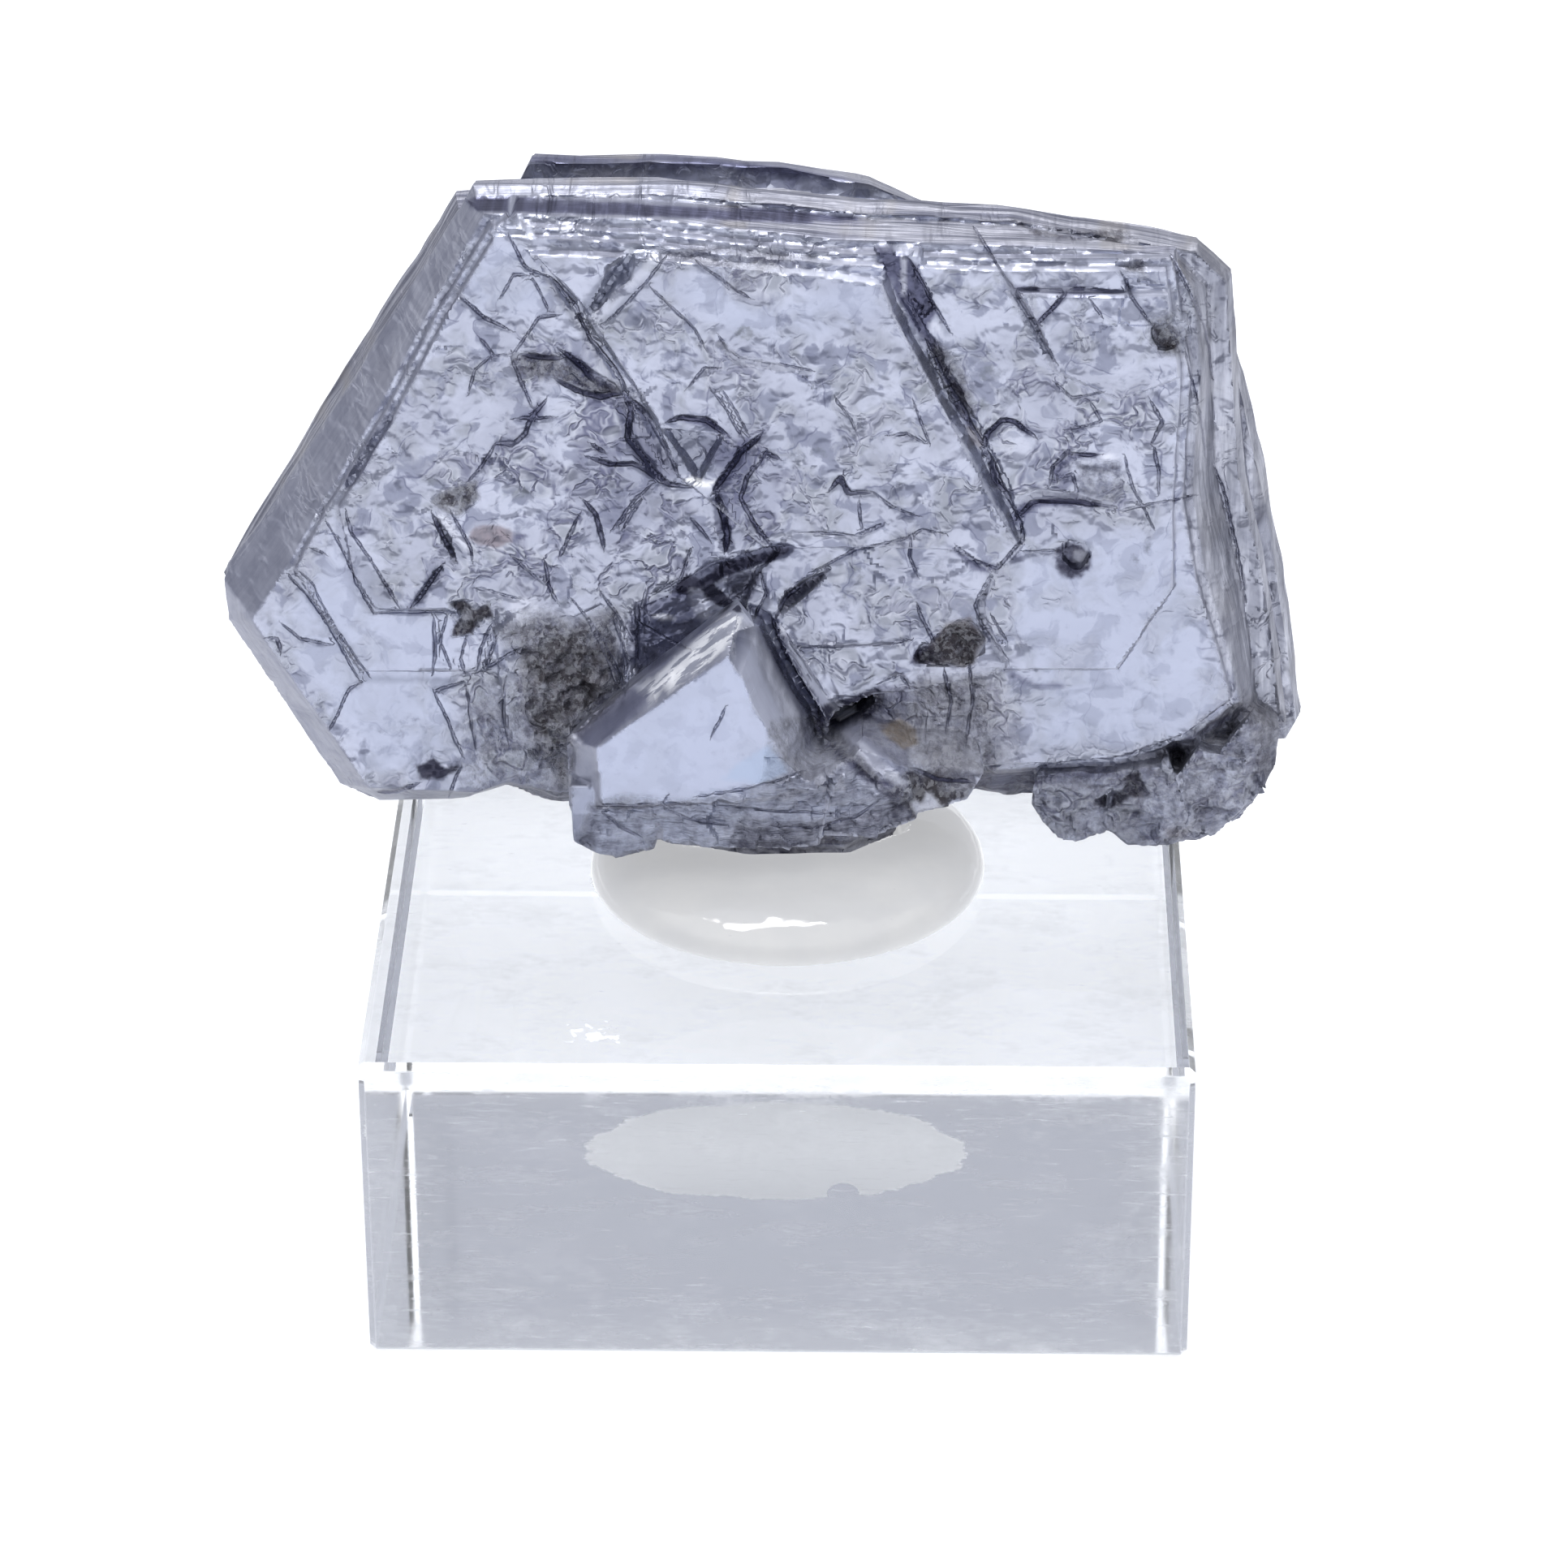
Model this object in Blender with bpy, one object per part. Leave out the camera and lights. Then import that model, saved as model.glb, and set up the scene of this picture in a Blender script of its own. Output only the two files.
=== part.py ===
"""A molybdenite crystal group pressed into mounting putty on a clear square block.

Lengths are in millimetres and are turned into metres where a mesh is made. The origin is the
centre of the block's underside, +Z is up, +X runs along the front of the block and the broad
crystal face looks towards -Y.

The crystal is laid out in the main crystal's own frame: u runs to the right along the broad face,
v runs up that face from the top of the block, and n stands out of the face towards the front.
"""

import math

import bmesh
import bpy
from mathutils import Matrix, Vector

MM = 0.001

# Clear block.
BLOCK_SIDE = 32.0
BLOCK_HEIGHT = 13.2
BLOCK_CHAMFER = 0.25

# Putty: a flattened drop whose section is a superellipse.
PUTTY_CENTRE = (0.15, -1.1)
PUTTY_RADIUS = 7.9
PUTTY_HEIGHT = 2.4
PUTTY_ROUNDNESS = 2.6
PUTTY_SIDES = 48
PUTTY_RINGS = 7
CLEARANCE = 0.3

# Main crystal: how far it leans back, and where its broad face meets the top of the block.
PLATE_LEAN = math.radians(4.0)
PLATE_FOOT = Vector((0.0, -2.0, BLOCK_HEIGHT))
RIM_DEPTH = 2.8

# Heights of the growth terraces of the broad face.
TOP_SLAB = 0.5
FACE = 0.0
SECOND_STEP = -0.4
OUTER_STEP = -0.85

# Outline of the shoulder below the growth terraces and, point for point, the widest outline of the
# crystal behind it, then the outlines of the third and rear sheets. All run anticlockwise as seen
# from the front, starting at the top left corner.
SHOULDER_OUTLINE = [
    (-11.4, 28.1), (-13.4, 24.6), (-15.6, 20.3), (-18.0, 16.2), (-19.6, 13.3), (-21.0, 11.1),
    (-20.1, 9.5), (-18.1, 6.3), (-16.6, 3.8), (-14.6, 3.7), (-12.3, 3.6), (-11.0, 4.1),
    (-9.0, 3.6), (-4.0, 4.2), (1.5, 4.2), (6.0, 4.4), (9.5, 4.8), (13.3, 5.1), (16.2, 6.2),
    (18.1, 7.8), (17.6, 10.0), (16.6, 13.3), (16.0, 16.7), (16.2, 21.7), (15.8, 25.2),
    (15.0, 26.6), (8.0, 26.9), (2.0, 27.1), (-5.0, 27.9),
]
RIM_OUTLINE = [
    (-12.3, 28.1), (-14.3, 24.7), (-16.9, 20.5), (-19.3, 16.6), (-20.9, 14.0), (-22.3, 12.1),
    (-22.2, 10.3), (-20.1, 6.7), (-18.0, 3.0), (-16.4, 2.3), (-12.9, 2.4), (-11.3, 3.0),
    (-9.2, 2.2), (-4.0, 3.1), (1.5, 3.1), (6.0, 3.0), (9.5, 2.7), (13.6, 3.2), (16.6, 3.9),
    (19.1, 5.8), (18.8, 8.4), (18.1, 12.7), (17.2, 16.4), (16.8, 20.8), (16.5, 24.6),
    (15.2, 25.9), (8.2, 27.1), (2.0, 27.5), (-5.2, 28.2),
]
THIRD_OUTLINE = [
    (-12.8, 27.5), (-15.8, 22.6), (-18.9, 17.6), (-21.0, 14.1), (-22.6, 11.3), (-21.6, 9.0),
    (-19.3, 5.8), (-17.0, 3.6), (-12.5, 3.4), (-4.0, 4.1), (6.0, 4.1), (13.6, 4.0), (17.2, 4.3),
    (20.3, 4.4), (20.9, 5.6), (20.6, 7.4), (19.9, 12.1), (19.0, 16.4), (18.2, 19.9), (17.7, 21.4),
    (17.4, 23.5), (16.5, 24.8), (13.8, 25.4), (10.4, 26.0), (6.0, 26.8), (0.0, 27.6), (-5.0, 27.8),
]
REAR_OUTLINE = [
    (-9.9, 28.6), (-13.6, 21.6), (-16.8, 14.4), (-14.4, 9.0), (-9.0, 5.4), (0.0, 5.0),
    (10.0, 5.6), (15.4, 7.2), (17.4, 12.0), (16.3, 18.4), (14.7, 23.2), (12.0, 25.0),
    (9.0, 25.8), (5.5, 26.7), (3.3, 27.7), (0.0, 28.3), (-5.0, 28.6), (-8.0, 28.5),
]

# Terraces standing on the broad face: outline, height of the top and depth of the foot.
SECOND_TERRACE = [
    (-11.1, 27.8), (-13.1, 24.5), (-15.3, 20.2), (-17.8, 16.0), (-19.2, 13.4), (-18.5, 12.1),
    (-17.4, 10.2), (-16.7, 9.05), (-12.4, 9.1), (-11.6, 9.7), (-9.5, 8.0), (-5.0, 6.0),
    (0.0, 5.4), (6.0, 4.95), (9.5, 5.2), (13.3, 5.5), (16.0, 6.6), (17.7, 8.1), (17.2, 10.0),
    (16.2, 13.3), (15.6, 16.7), (15.8, 21.7), (15.0, 26.55), (8.0, 26.5), (2.0, 26.7),
    (-5.0, 27.5),
]
FACE_TERRACE = [
    (-10.9, 27.5), (-12.8, 24.4), (-15.0, 20.1), (-17.3, 16.2), (-17.1, 15.1), (-16.8, 13.4),
    (-16.0, 11.95), (-12.7, 11.9), (-11.0, 12.0), (-8.0, 10.5), (0.0, 8.0), (5.0, 8.5),
    (8.9, 9.45), (13.2, 9.5), (15.3, 13.0), (15.2, 16.7), (15.4, 21.6), (14.7, 26.2),
    (8.0, 26.2), (2.0, 26.4), (-5.0, 27.2),
]
CENTRAL_SLAB = [
    (-9.6, 26.9), (-8.9, 26.0), (-7.7, 24.4), (-6.3, 22.0), (-5.0, 20.0), (-4.6, 18.3),
    (-2.8, 16.8), (-0.6, 14.75), (3.4, 14.9), (6.9, 14.75), (8.4, 13.75), (9.4, 15.0),
    (8.4, 17.5), (7.0, 20.3), (5.6, 23.2), (4.2, 25.7), (2.0, 26.0), (-5.0, 26.8),
]
UPPER_RIGHT_STEP = [
    (8.7, 25.3), (9.7, 24.0), (10.5, 22.2), (13.0, 21.0), (15.3, 21.9), (14.8, 25.3),
]
REAR_TERRACES = [
    ([(-7.6, 25.0), (-11.8, 17.6), (-7.0, 9.6), (3.2, 9.0), (8.6, 16.8), (3.6, 24.2)], -7.8),
    ([(-3.0, 21.4), (-6.6, 15.2), (-3.4, 10.8), (0.8, 14.0), (1.4, 19.0)], -8.3),
]
TERRACE_FLARE = 0.2

# Smaller crystal grown into the front: its broad face, its widest girdle and its root.
FRONT_FACE = [
    (-7.2, 7.75), (-2.0, 11.75), (-1.0, 9.9), (0.1, 8.9), (0.9, 7.0), (1.5, 6.0),
    (-0.5, 5.6), (-3.5, 5.3), (-7.0, 5.1),
]
FRONT_GIRDLE = [
    (-8.45, 7.5), (-1.65, 13.3), (-0.3, 11.3), (1.2, 8.6), (2.2, 6.8), (3.0, 5.4),
    (0.0, 4.6), (-3.5, 4.4), (-8.4, 4.3),
]
FRONT_ROOT = [
    (-7.5, 7.4), (-1.9, 12.5), (0.2, 11.3), (1.8, 8.6), (3.2, 6.6), (4.5, 5.2),
    (0.0, 4.8), (-3.5, 4.6), (-7.7, 4.6),
]
FRONT_FACE_N = 3.8
FRONT_GIRDLE_N = 2.3
FRONT_ROOT_N = -1.2

# Broken masses: each is the hull of its corners (u, v, n).
CHUNKS = [
    # Under the smaller crystal, from left to right.
    [(-8.3, 5.9, 3.4), (-8.2, 3.4, 3.4), (-7.3, 2.95, 3.4), (-6.4, 2.75, 3.3), (-5.0, 3.2, 3.5),
     (-4.3, 5.9, 3.6), (-8.0, 6.0, -1.2), (-8.0, 4.1, -1.2), (-6.4, 3.5, -1.2), (-4.3, 3.7, -1.2),
     (-4.3, 6.2, -1.2)],
    [(-5.2, 5.8, 3.7), (-4.7, 3.5, 3.5), (-2.6, 3.4, 3.7), (-0.7, 3.25, 3.6), (1.5, 3.3, 3.3),
     (2.2, 6.6, 3.3), (-5.2, 5.8, -1.3), (-4.7, 3.8, -1.3), (-1.0, 3.6, -1.3), (1.8, 3.7, -1.3),
     (2.2, 6.8, -1.3)],
    [(0.5, 6.7, 3.1), (0.4, 3.6, 3.1), (3.6, 3.5, 2.9), (5.3, 4.0, 2.3), (5.0, 6.2, 2.1),
     (2.6, 7.3, 2.4), (0.8, 3.9, -1.4), (5.5, 4.3, -1.4), (5.4, 7.0, -1.4), (1.6, 7.6, -1.4)],
    [(4.6, 4.1, 2.3), (6.3, 4.2, 1.7), (7.3, 4.4, 1.3), (8.0, 5.4, 0.8), (6.5, 6.6, 0.7),
     (4.4, 6.2, 1.7), (4.6, 4.5, -1.6), (7.6, 4.5, -1.6), (7.6, 6.8, -1.6), (4.4, 7.0, -1.6)],
    # Lower right end of the main crystal.
    [(9.9, 3.3, -0.7), (10.4, 2.4, -0.8), (11.0, 1.8, -0.9), (11.7, 1.55, -0.9), (13.0, 2.0, -0.8),
     (13.4, 5.0, -0.2), (10.0, 4.8, -0.3), (10.4, 2.9, -4.0), (13.2, 2.7, -4.2), (12.0, 5.2, -4.4)],
    [(12.8, 2.3, -0.6), (13.8, 1.45, -0.7), (14.9, 1.45, -0.7), (15.7, 1.4, -0.9), (16.2, 3.2, 0.1),
     (15.4, 5.4, 0.0), (13.0, 5.0, -0.2), (13.4, 2.4, -4.2), (15.8, 2.3, -4.3), (15.0, 5.6, -4.5)],
    [(15.4, 1.5, -0.9), (16.5, 1.5, -1.0), (17.5, 2.0, -1.1), (18.4, 3.0, -1.0), (18.4, 5.6, -0.2),
     (16.4, 6.0, -0.1), (15.2, 4.2, -0.1), (15.6, 2.5, -4.4), (18.0, 3.3, -4.4), (17.6, 6.2, -4.4)],
    [(17.6, 2.2, -1.2), (18.4, 2.65, -1.2), (19.2, 3.6, -1.4), (19.7, 4.6, -1.7), (19.8, 6.2, -1.7),
     (18.4, 7.2, -0.5), (17.4, 6.0, -0.2), (17.8, 3.4, -4.6), (19.6, 4.6, -4.6), (19.4, 7.0, -4.6)],
]

# Keel: the broken underside that sits in the putty, given by two outlines in world X and Y.
KEEL_FOOT = [(-4.0, -2.0), (-1.2, -3.0), (2.4, -2.8), (4.4, -1.0), (3.8, 1.4), (0.6, 2.4),
             (-2.8, 2.0), (-4.4, 0.4)]
KEEL_FOOT_Z = 14.9
KEEL_TOP_Z = 17.4
KEEL_TOP_GROWTH = 0.7

# Hollows: outline, height of the mouth, height of the floor, and how far the floor is drawn in.
HOLLOWS = [
    # Deep recess behind the smaller crystal.
    ([(-5.9, 12.2), (-5.8, 9.2), (-3.3, 10.8), (-1.4, 12.0), (-1.0, 13.3), (0.2, 14.75),
      (-0.9, 14.45), (-2.5, 14.1), (-3.7, 13.5), (-4.4, 12.8)], 0.9, -3.0, 0.35),
    # Grainy hollow to its left.
    ([(-10.6, 8.4), (-10.8, 10.6), (-9.8, 11.6), (-8.0, 11.9), (-7.0, 12.4), (-6.3, 10.6),
      (-6.4, 8.3), (-8.4, 6.4), (-10.3, 6.6)], 0.4, -2.1, 0.7),
    # Hole where the smaller crystal, the mass and the face meet.
    ([(1.2, 7.7), (2.6, 7.9), (3.65, 8.6), (3.9, 7.8), (3.2, 7.1), (2.3, 6.5), (1.5, 6.3)],
     3.9, -2.0, 0.3),
    # Stained hollow below the central slab.
    ([(5.2, 9.75), (5.8, 10.7), (6.7, 11.25), (7.3, 11.6), (7.9, 10.65), (8.1, 10.1), (6.8, 9.5)],
     0.3, -0.9, 0.3),
    # Round pits and pores.
    ([(10.85, 14.9), (11.2, 15.1), (11.9, 14.95), (12.1, 14.4), (11.8, 13.8), (11.3, 13.75),
      (10.9, 14.2)], 0.3, -1.4, 0.2),
    ([(14.2, 23.9), (14.9, 24.3), (15.4, 23.9), (15.3, 23.2), (14.6, 23.0)], 0.5, -1.0, 0.2),
    ([(-14.5, 5.2), (-14.1, 5.5), (-13.1, 5.3), (-13.1, 4.8), (-14.2, 4.7)], -0.4, -1.8, 0.12),
    ([(-12.9, 12.1), (-12.3, 12.4), (-11.5, 12.0), (-11.7, 11.1), (-12.6, 10.9)], 0.3, -1.3, 0.25),
    # Three-cornered dip in the left edge of the central slab.
    ([(-4.9, 20.0), (-2.0, 19.6), (-3.2, 17.2)], 0.9, -0.2, 0.35),
    # Gap at the top end of the long cleft.
    ([(3.5, 27.6), (5.0, 27.4), (5.5, 25.8), (6.1, 24.7), (5.5, 24.0), (4.2, 26.0)],
     0.9, -0.9, 0.25),
]

# Cracks: points (u, v), width at the face, height of the mouth, height of the bottom.
CRACKS = [
    ([(3.9, 26.6), (4.7, 24.9), (6.0, 22.3), (7.3, 19.8), (8.5, 17.4), (9.4, 15.0)], 0.7, 1.0, -0.9),
    ([(-9.4, 26.7), (-7.9, 24.6), (-6.5, 22.2), (-5.2, 20.1), (-4.4, 17.9)], 0.5, 1.0, -0.7),
    ([(-5.2, 27.6), (-6.2, 26.2), (-7.2, 24.7)], 0.8, 1.0, -0.2),
    ([(8.2, 26.5), (9.2, 24.9), (9.7, 24.0), (10.5, 22.2)], 0.35, 0.8, -0.4),
    ([(8.9, 25.5), (10.9, 25.45), (13.1, 25.4)], 0.3, 0.8, -0.3),
    ([(9.2, 16.6), (10.0, 16.9), (11.5, 16.8), (13.0, 16.4)], 0.35, 0.6, -0.6),
    ([(8.3, 13.4), (7.8, 12.4), (7.9, 11.4), (8.9, 9.6)], 0.3, 0.6, -0.5),
    ([(0.5, 10.45), (2.5, 10.45), (4.3, 10.6)], 0.15, 0.4, -0.3),
    ([(-0.2, 11.7), (0.6, 12.7), (1.7, 13.6)], 0.6, 0.6, -0.6),
    ([(-13.5, 15.9), (-13.1, 14.9), (-12.8, 13.9)], 0.55, 0.5, -0.3),
    ([(-2.5, 23.4), (-1.8, 22.7), (-0.3, 22.4), (1.8, 22.0)], 0.3, 1.0, 0.1),
    ([(-1.9, 12.0), (-0.7, 11.7), (0.0, 10.0), (1.2, 7.8), (1.5, 6.4)], 0.4, 4.2, -0.8),
]


def at(u, v, n):
    """The world point, in metres, of a point of the main crystal's frame."""
    lean = PLATE_LEAN
    across = Vector((1.0, 0.0, 0.0))
    up = Vector((0.0, math.sin(lean), math.cos(lean)))
    out = Vector((0.0, -math.cos(lean), math.sin(lean)))
    return (PLATE_FOOT + across * u + up * v + out * n) * MM


def grown(outline, amount):
    """The outline moved outwards by amount, with mitred corners."""
    area = sum(a[0] * b[1] - b[0] * a[1] for a, b in zip(outline, outline[1:] + outline[:1]))
    side = 1.0 if area > 0 else -1.0
    moved = []
    for before, here, after in zip(outline[-1:] + outline[:-1], outline, outline[1:] + outline[:1]):
        first = (Vector(here) - Vector(before)).normalized()
        second = (Vector(after) - Vector(here)).normalized()
        normals = (Vector((first.y, -first.x)) + Vector((second.y, -second.x))) * side
        mitre = normals.normalized()
        reach = amount / max(mitre.dot(Vector((first.y, -first.x)) * side), 0.5)
        moved.append(tuple(Vector(here) + mitre * reach))
    return moved


def stretched(outline, left, right, bottom, top):
    """The outline scaled so that its sides move outwards by these amounts."""
    low_u = min(u for u, _ in outline)
    high_u = max(u for u, _ in outline)
    low_v = min(v for _, v in outline)
    high_v = max(v for _, v in outline)
    across = (high_u - low_u + left + right) / (high_u - low_u)
    up = (high_v - low_v + bottom + top) / (high_v - low_v)
    return [(low_u - left + (u - low_u) * across, low_v - bottom + (v - low_v) * up) for u, v in outline]


def mesh_object(name, shape):
    """An object made from a bmesh, with its faces turned outwards."""
    bmesh.ops.recalc_face_normals(shape, faces=shape.faces)
    mesh = bpy.data.meshes.new(name)
    shape.to_mesh(mesh)
    shape.free()
    made = bpy.data.objects.new(name, mesh)
    bpy.context.scene.collection.objects.link(made)
    return made


def lofted(name, rings):
    """A closed solid through rings of world points, all with the same number of points."""
    shape = bmesh.new()
    loops = [[shape.verts.new(point) for point in ring] for ring in rings]
    count = len(loops[0])
    for lower, upper in zip(loops, loops[1:]):
        for i in range(count):
            j = (i + 1) % count
            shape.faces.new((lower[i], lower[j], upper[j], upper[i]))
    shape.faces.new(loops[0])
    shape.faces.new(loops[-1])
    bmesh.ops.triangulate(shape, faces=shape.faces)
    return mesh_object(name, shape)


def slab(name, *levels):
    """A solid through outlines of the main crystal's frame, each level being (outline, n)."""
    return lofted(name, [[at(u, v, n) for u, v in outline] for outline, n in levels])


def hull(name, points):
    """The convex hull of world points."""
    shape = bmesh.new()
    for point in points:
        shape.verts.new(point)
    made = bmesh.ops.convex_hull(shape, input=shape.verts)
    unused = [item for item in made["geom_interior"] if isinstance(item, bmesh.types.BMVert)]
    bmesh.ops.delete(shape, geom=unused, context="VERTS")
    return mesh_object(name, shape)


def groove(name, points, width, mouth, bottom):
    """A wedge that runs along points and tapers to its ends, for cutting a crack."""
    rings = []
    last = len(points) - 1
    for i, (u, v) in enumerate(points):
        before = Vector(points[max(i - 1, 0)])
        after = Vector(points[min(i + 1, last)])
        along = (after - before).normalized()
        sideways = Vector((-along.y, along.x))
        share = 0.35 if i in (0, last) else 1.0
        # The wedge widens in proportion above the face, so that it is as wide as stated at n = 0.
        half = 0.5 * width * share * (mouth - bottom) / max(-bottom, 0.5)
        left = Vector((u, v)) + sideways * half
        right = Vector((u, v)) - sideways * half
        deep = bottom if share == 1.0 else bottom * 0.4
        rings.append([at(left.x, left.y, mouth), at(right.x, right.y, mouth), at(u, v, deep)])
    return lofted(name, rings)


def gathered(name, objects):
    """A collection of helper solids that Booleans use and that never show by themselves."""
    group = bpy.data.collections.new(name)
    bpy.context.scene.collection.children.link(group)
    for helper in objects:
        bpy.context.scene.collection.objects.unlink(helper)
        group.objects.link(helper)
        helper.hide_render = True
        helper.display_type = "WIRE"
    return group


def add_boolean(target, operation, group):
    """Joins the group's solids to the target, or cuts them from it."""
    boolean = target.modifiers.new(group.name, "BOOLEAN")
    boolean.operation = operation
    boolean.operand_type = "COLLECTION"
    boolean.collection = group
    boolean.solver = "EXACT"


def give_material(target, name, colour, roughness, metallic=0.0, transmission=0.0):
    """A Principled material with these plain values."""
    material = bpy.data.materials.new(name)
    material.use_nodes = True
    shader = material.node_tree.nodes["Principled BSDF"]
    shader.inputs["Base Color"].default_value = (*colour, 1.0)
    shader.inputs["Roughness"].default_value = roughness
    shader.inputs["Metallic"].default_value = metallic
    shader.inputs["Transmission Weight"].default_value = transmission
    target.data.materials.append(material)


def terrace(name, outline, top, foot):
    """A low slab with bevelled sides that stands on a face."""
    outwards = 1.0 if top > foot else -1.0
    return slab(name, (grown(outline, TERRACE_FLARE), foot), (outline, top - 0.02 * outwards))


def plate_slabs():
    """The stacked sheets of the main crystal behind its broad face, each with its own ledge."""
    second = stretched(RIM_OUTLINE, left=-0.1, right=1.0, bottom=-0.2, top=0.35)
    third = THIRD_OUTLINE
    return [
        slab("sheet_2", (grown(second, -0.1), -4.1), (second, -3.2), (grown(second, -0.25), -2.6)),
        slab("sheet_3", (grown(third, -0.5), -5.9), (third, -5.2), (grown(third, -0.3), -3.9)),
        slab("sheet_4", (grown(REAR_OUTLINE, -0.2), -7.1), (REAR_OUTLINE, -5.6)),
    ]


def face_terraces():
    """The growth steps of the broad face and of the rear face."""
    steps = [
        terrace("second_terrace", SECOND_TERRACE, SECOND_STEP, -1.4),
        terrace("face_terrace", FACE_TERRACE, FACE, -1.1),
        terrace("central_slab", CENTRAL_SLAB, TOP_SLAB, -0.4),
        terrace("upper_right_step", UPPER_RIGHT_STEP, 0.25, -0.5),
    ]
    for i, (outline, top) in enumerate(REAR_TERRACES):
        steps.append(terrace(f"rear_terrace_{i}", outline, top, -6.4))
    return steps


def front_crystal():
    """The smaller crystal: a broad face, bevels out to the girdle, and a root in the plate."""
    return slab(
        "front_crystal",
        (FRONT_ROOT, FRONT_ROOT_N),
        (FRONT_GIRDLE, FRONT_GIRDLE_N),
        (FRONT_FACE, FRONT_FACE_N),
    )


def keel(name, growth, drop):
    """The block of broken crystal that reaches into the putty, or the pocket for it."""
    foot = grown(KEEL_FOOT, growth)
    top = grown(KEEL_FOOT, growth + KEEL_TOP_GROWTH)
    points = [Vector((x, y, KEEL_FOOT_Z - drop)) * MM for x, y in foot]
    points += [Vector((x, y, KEEL_TOP_Z)) * MM for x, y in top]
    return hull(name, points)


def make_molybdenite():
    """The whole crystal group as one solid."""
    body = slab("molybdenite", (RIM_OUTLINE, -RIM_DEPTH), (SHOULDER_OUTLINE, OUTER_STEP))
    hollows = [
        slab(f"hollow_{i}", (grown(outline, -draw), floor), (outline, mouth))
        for i, (outline, mouth, floor, draw) in enumerate(HOLLOWS)
    ]
    chunks = [hull(f"chunk_{i}", [at(*corner) for corner in corners]) for i, corners in enumerate(CHUNKS)]
    cracks = [groove(f"crack_{i}", *crack) for i, crack in enumerate(CRACKS)]
    add_boolean(body, "UNION", gathered("sheets_and_steps", plate_slabs() + face_terraces()))
    add_boolean(body, "UNION", gathered("masses", chunks + [front_crystal(), keel("keel", 0.0, 0.0)]))
    add_boolean(body, "DIFFERENCE", gathered("hollows", hollows))
    add_boolean(body, "DIFFERENCE", gathered("cracks", cracks))
    give_material(body, "molybdenite", (0.55, 0.57, 0.68), 0.3, metallic=0.9)


def make_putty():
    """A flattened drop on the block with a pocket for the keel."""
    low = BLOCK_HEIGHT + CLEARANCE
    rings = []
    for i in range(PUTTY_RINGS):
        turn = 0.5 * math.pi * i / PUTTY_RINGS
        radius = PUTTY_RADIUS * math.cos(turn) ** (2.0 / PUTTY_ROUNDNESS)
        height = (PUTTY_HEIGHT - CLEARANCE) * math.sin(turn) ** (2.0 / PUTTY_ROUNDNESS)
        rings.append([
            Vector((
                PUTTY_CENTRE[0] + radius * math.cos(math.tau * k / PUTTY_SIDES),
                PUTTY_CENTRE[1] + radius * math.sin(math.tau * k / PUTTY_SIDES),
                low + height,
            )) * MM
            for k in range(PUTTY_SIDES)
        ])
    putty = lofted("putty", rings)
    add_boolean(putty, "DIFFERENCE", gathered("pocket", [keel("keel_pocket", CLEARANCE, CLEARANCE)]))
    give_material(putty, "putty", (0.86, 0.87, 0.88), 0.2, transmission=0.6)


def make_block():
    """The clear square block with lightly broken edges."""
    shape = bmesh.new()
    bmesh.ops.create_cube(shape, size=1.0)
    size = Matrix.Diagonal((BLOCK_SIDE * MM, BLOCK_SIDE * MM, BLOCK_HEIGHT * MM, 1.0))
    lift = Matrix.Translation((0.0, 0.0, BLOCK_HEIGHT * MM / 2))
    bmesh.ops.transform(shape, matrix=lift @ size, verts=shape.verts)
    bmesh.ops.bevel(shape, geom=shape.edges, offset=BLOCK_CHAMFER * MM, segments=1, affect="EDGES")
    block = mesh_object("base_block", shape)
    give_material(block, "base_block", (0.95, 0.96, 0.97), 0.02, transmission=1.0)


def main():
    for old in list(bpy.data.objects):
        bpy.data.objects.remove(old, do_unlink=True)
    make_block()
    make_putty()
    make_molybdenite()


main()
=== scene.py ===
"""Looks for the molybdenite crystal group on its clear block.

Lengths are in millimetres until a mesh is written. The crystal is worked on in the main plate's
frame: u to the right along its broad face, v up that face, n out of it. Marks on the crystal are
placed by their reading: the (u, v) where the photograph's line of sight crosses the plane n = 0.
"""

import functools
import itertools
import math
import types

import bmesh
import bpy
import numpy as np
from mathutils import Matrix, Vector
from mathutils.bvhtree import BVHTree


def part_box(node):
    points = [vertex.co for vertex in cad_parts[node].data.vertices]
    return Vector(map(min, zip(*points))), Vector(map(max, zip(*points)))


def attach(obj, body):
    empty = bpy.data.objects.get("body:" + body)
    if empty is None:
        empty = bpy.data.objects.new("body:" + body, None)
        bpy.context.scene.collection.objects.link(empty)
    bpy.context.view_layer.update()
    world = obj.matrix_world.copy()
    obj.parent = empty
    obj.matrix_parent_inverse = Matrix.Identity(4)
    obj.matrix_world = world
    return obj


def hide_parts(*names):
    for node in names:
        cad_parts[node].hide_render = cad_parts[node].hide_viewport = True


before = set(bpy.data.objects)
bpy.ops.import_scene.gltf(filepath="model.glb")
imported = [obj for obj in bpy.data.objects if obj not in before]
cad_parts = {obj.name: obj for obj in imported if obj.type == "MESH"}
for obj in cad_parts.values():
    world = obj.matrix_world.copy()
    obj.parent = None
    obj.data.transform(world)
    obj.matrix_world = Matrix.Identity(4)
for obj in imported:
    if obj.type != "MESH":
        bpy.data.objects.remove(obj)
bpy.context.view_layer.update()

MM = 0.001
BLOCK_SIDE = 32.0
BLOCK_CHAMFER = 0.25
BLOCK_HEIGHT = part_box("base_block")[1][2] / MM

# Main plate's frame, as the solids have it.
PLATE_LEAN = math.radians(4.0)
PLATE_FOOT = np.array([0.0, -2.0, BLOCK_HEIGHT])
ACROSS = np.array([1.0, 0.0, 0.0])
UP = np.array([0.0, math.sin(PLATE_LEAN), math.cos(PLATE_LEAN)])
OUT = np.array([0.0, -math.cos(PLATE_LEAN), math.sin(PLATE_LEAN)])

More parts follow.
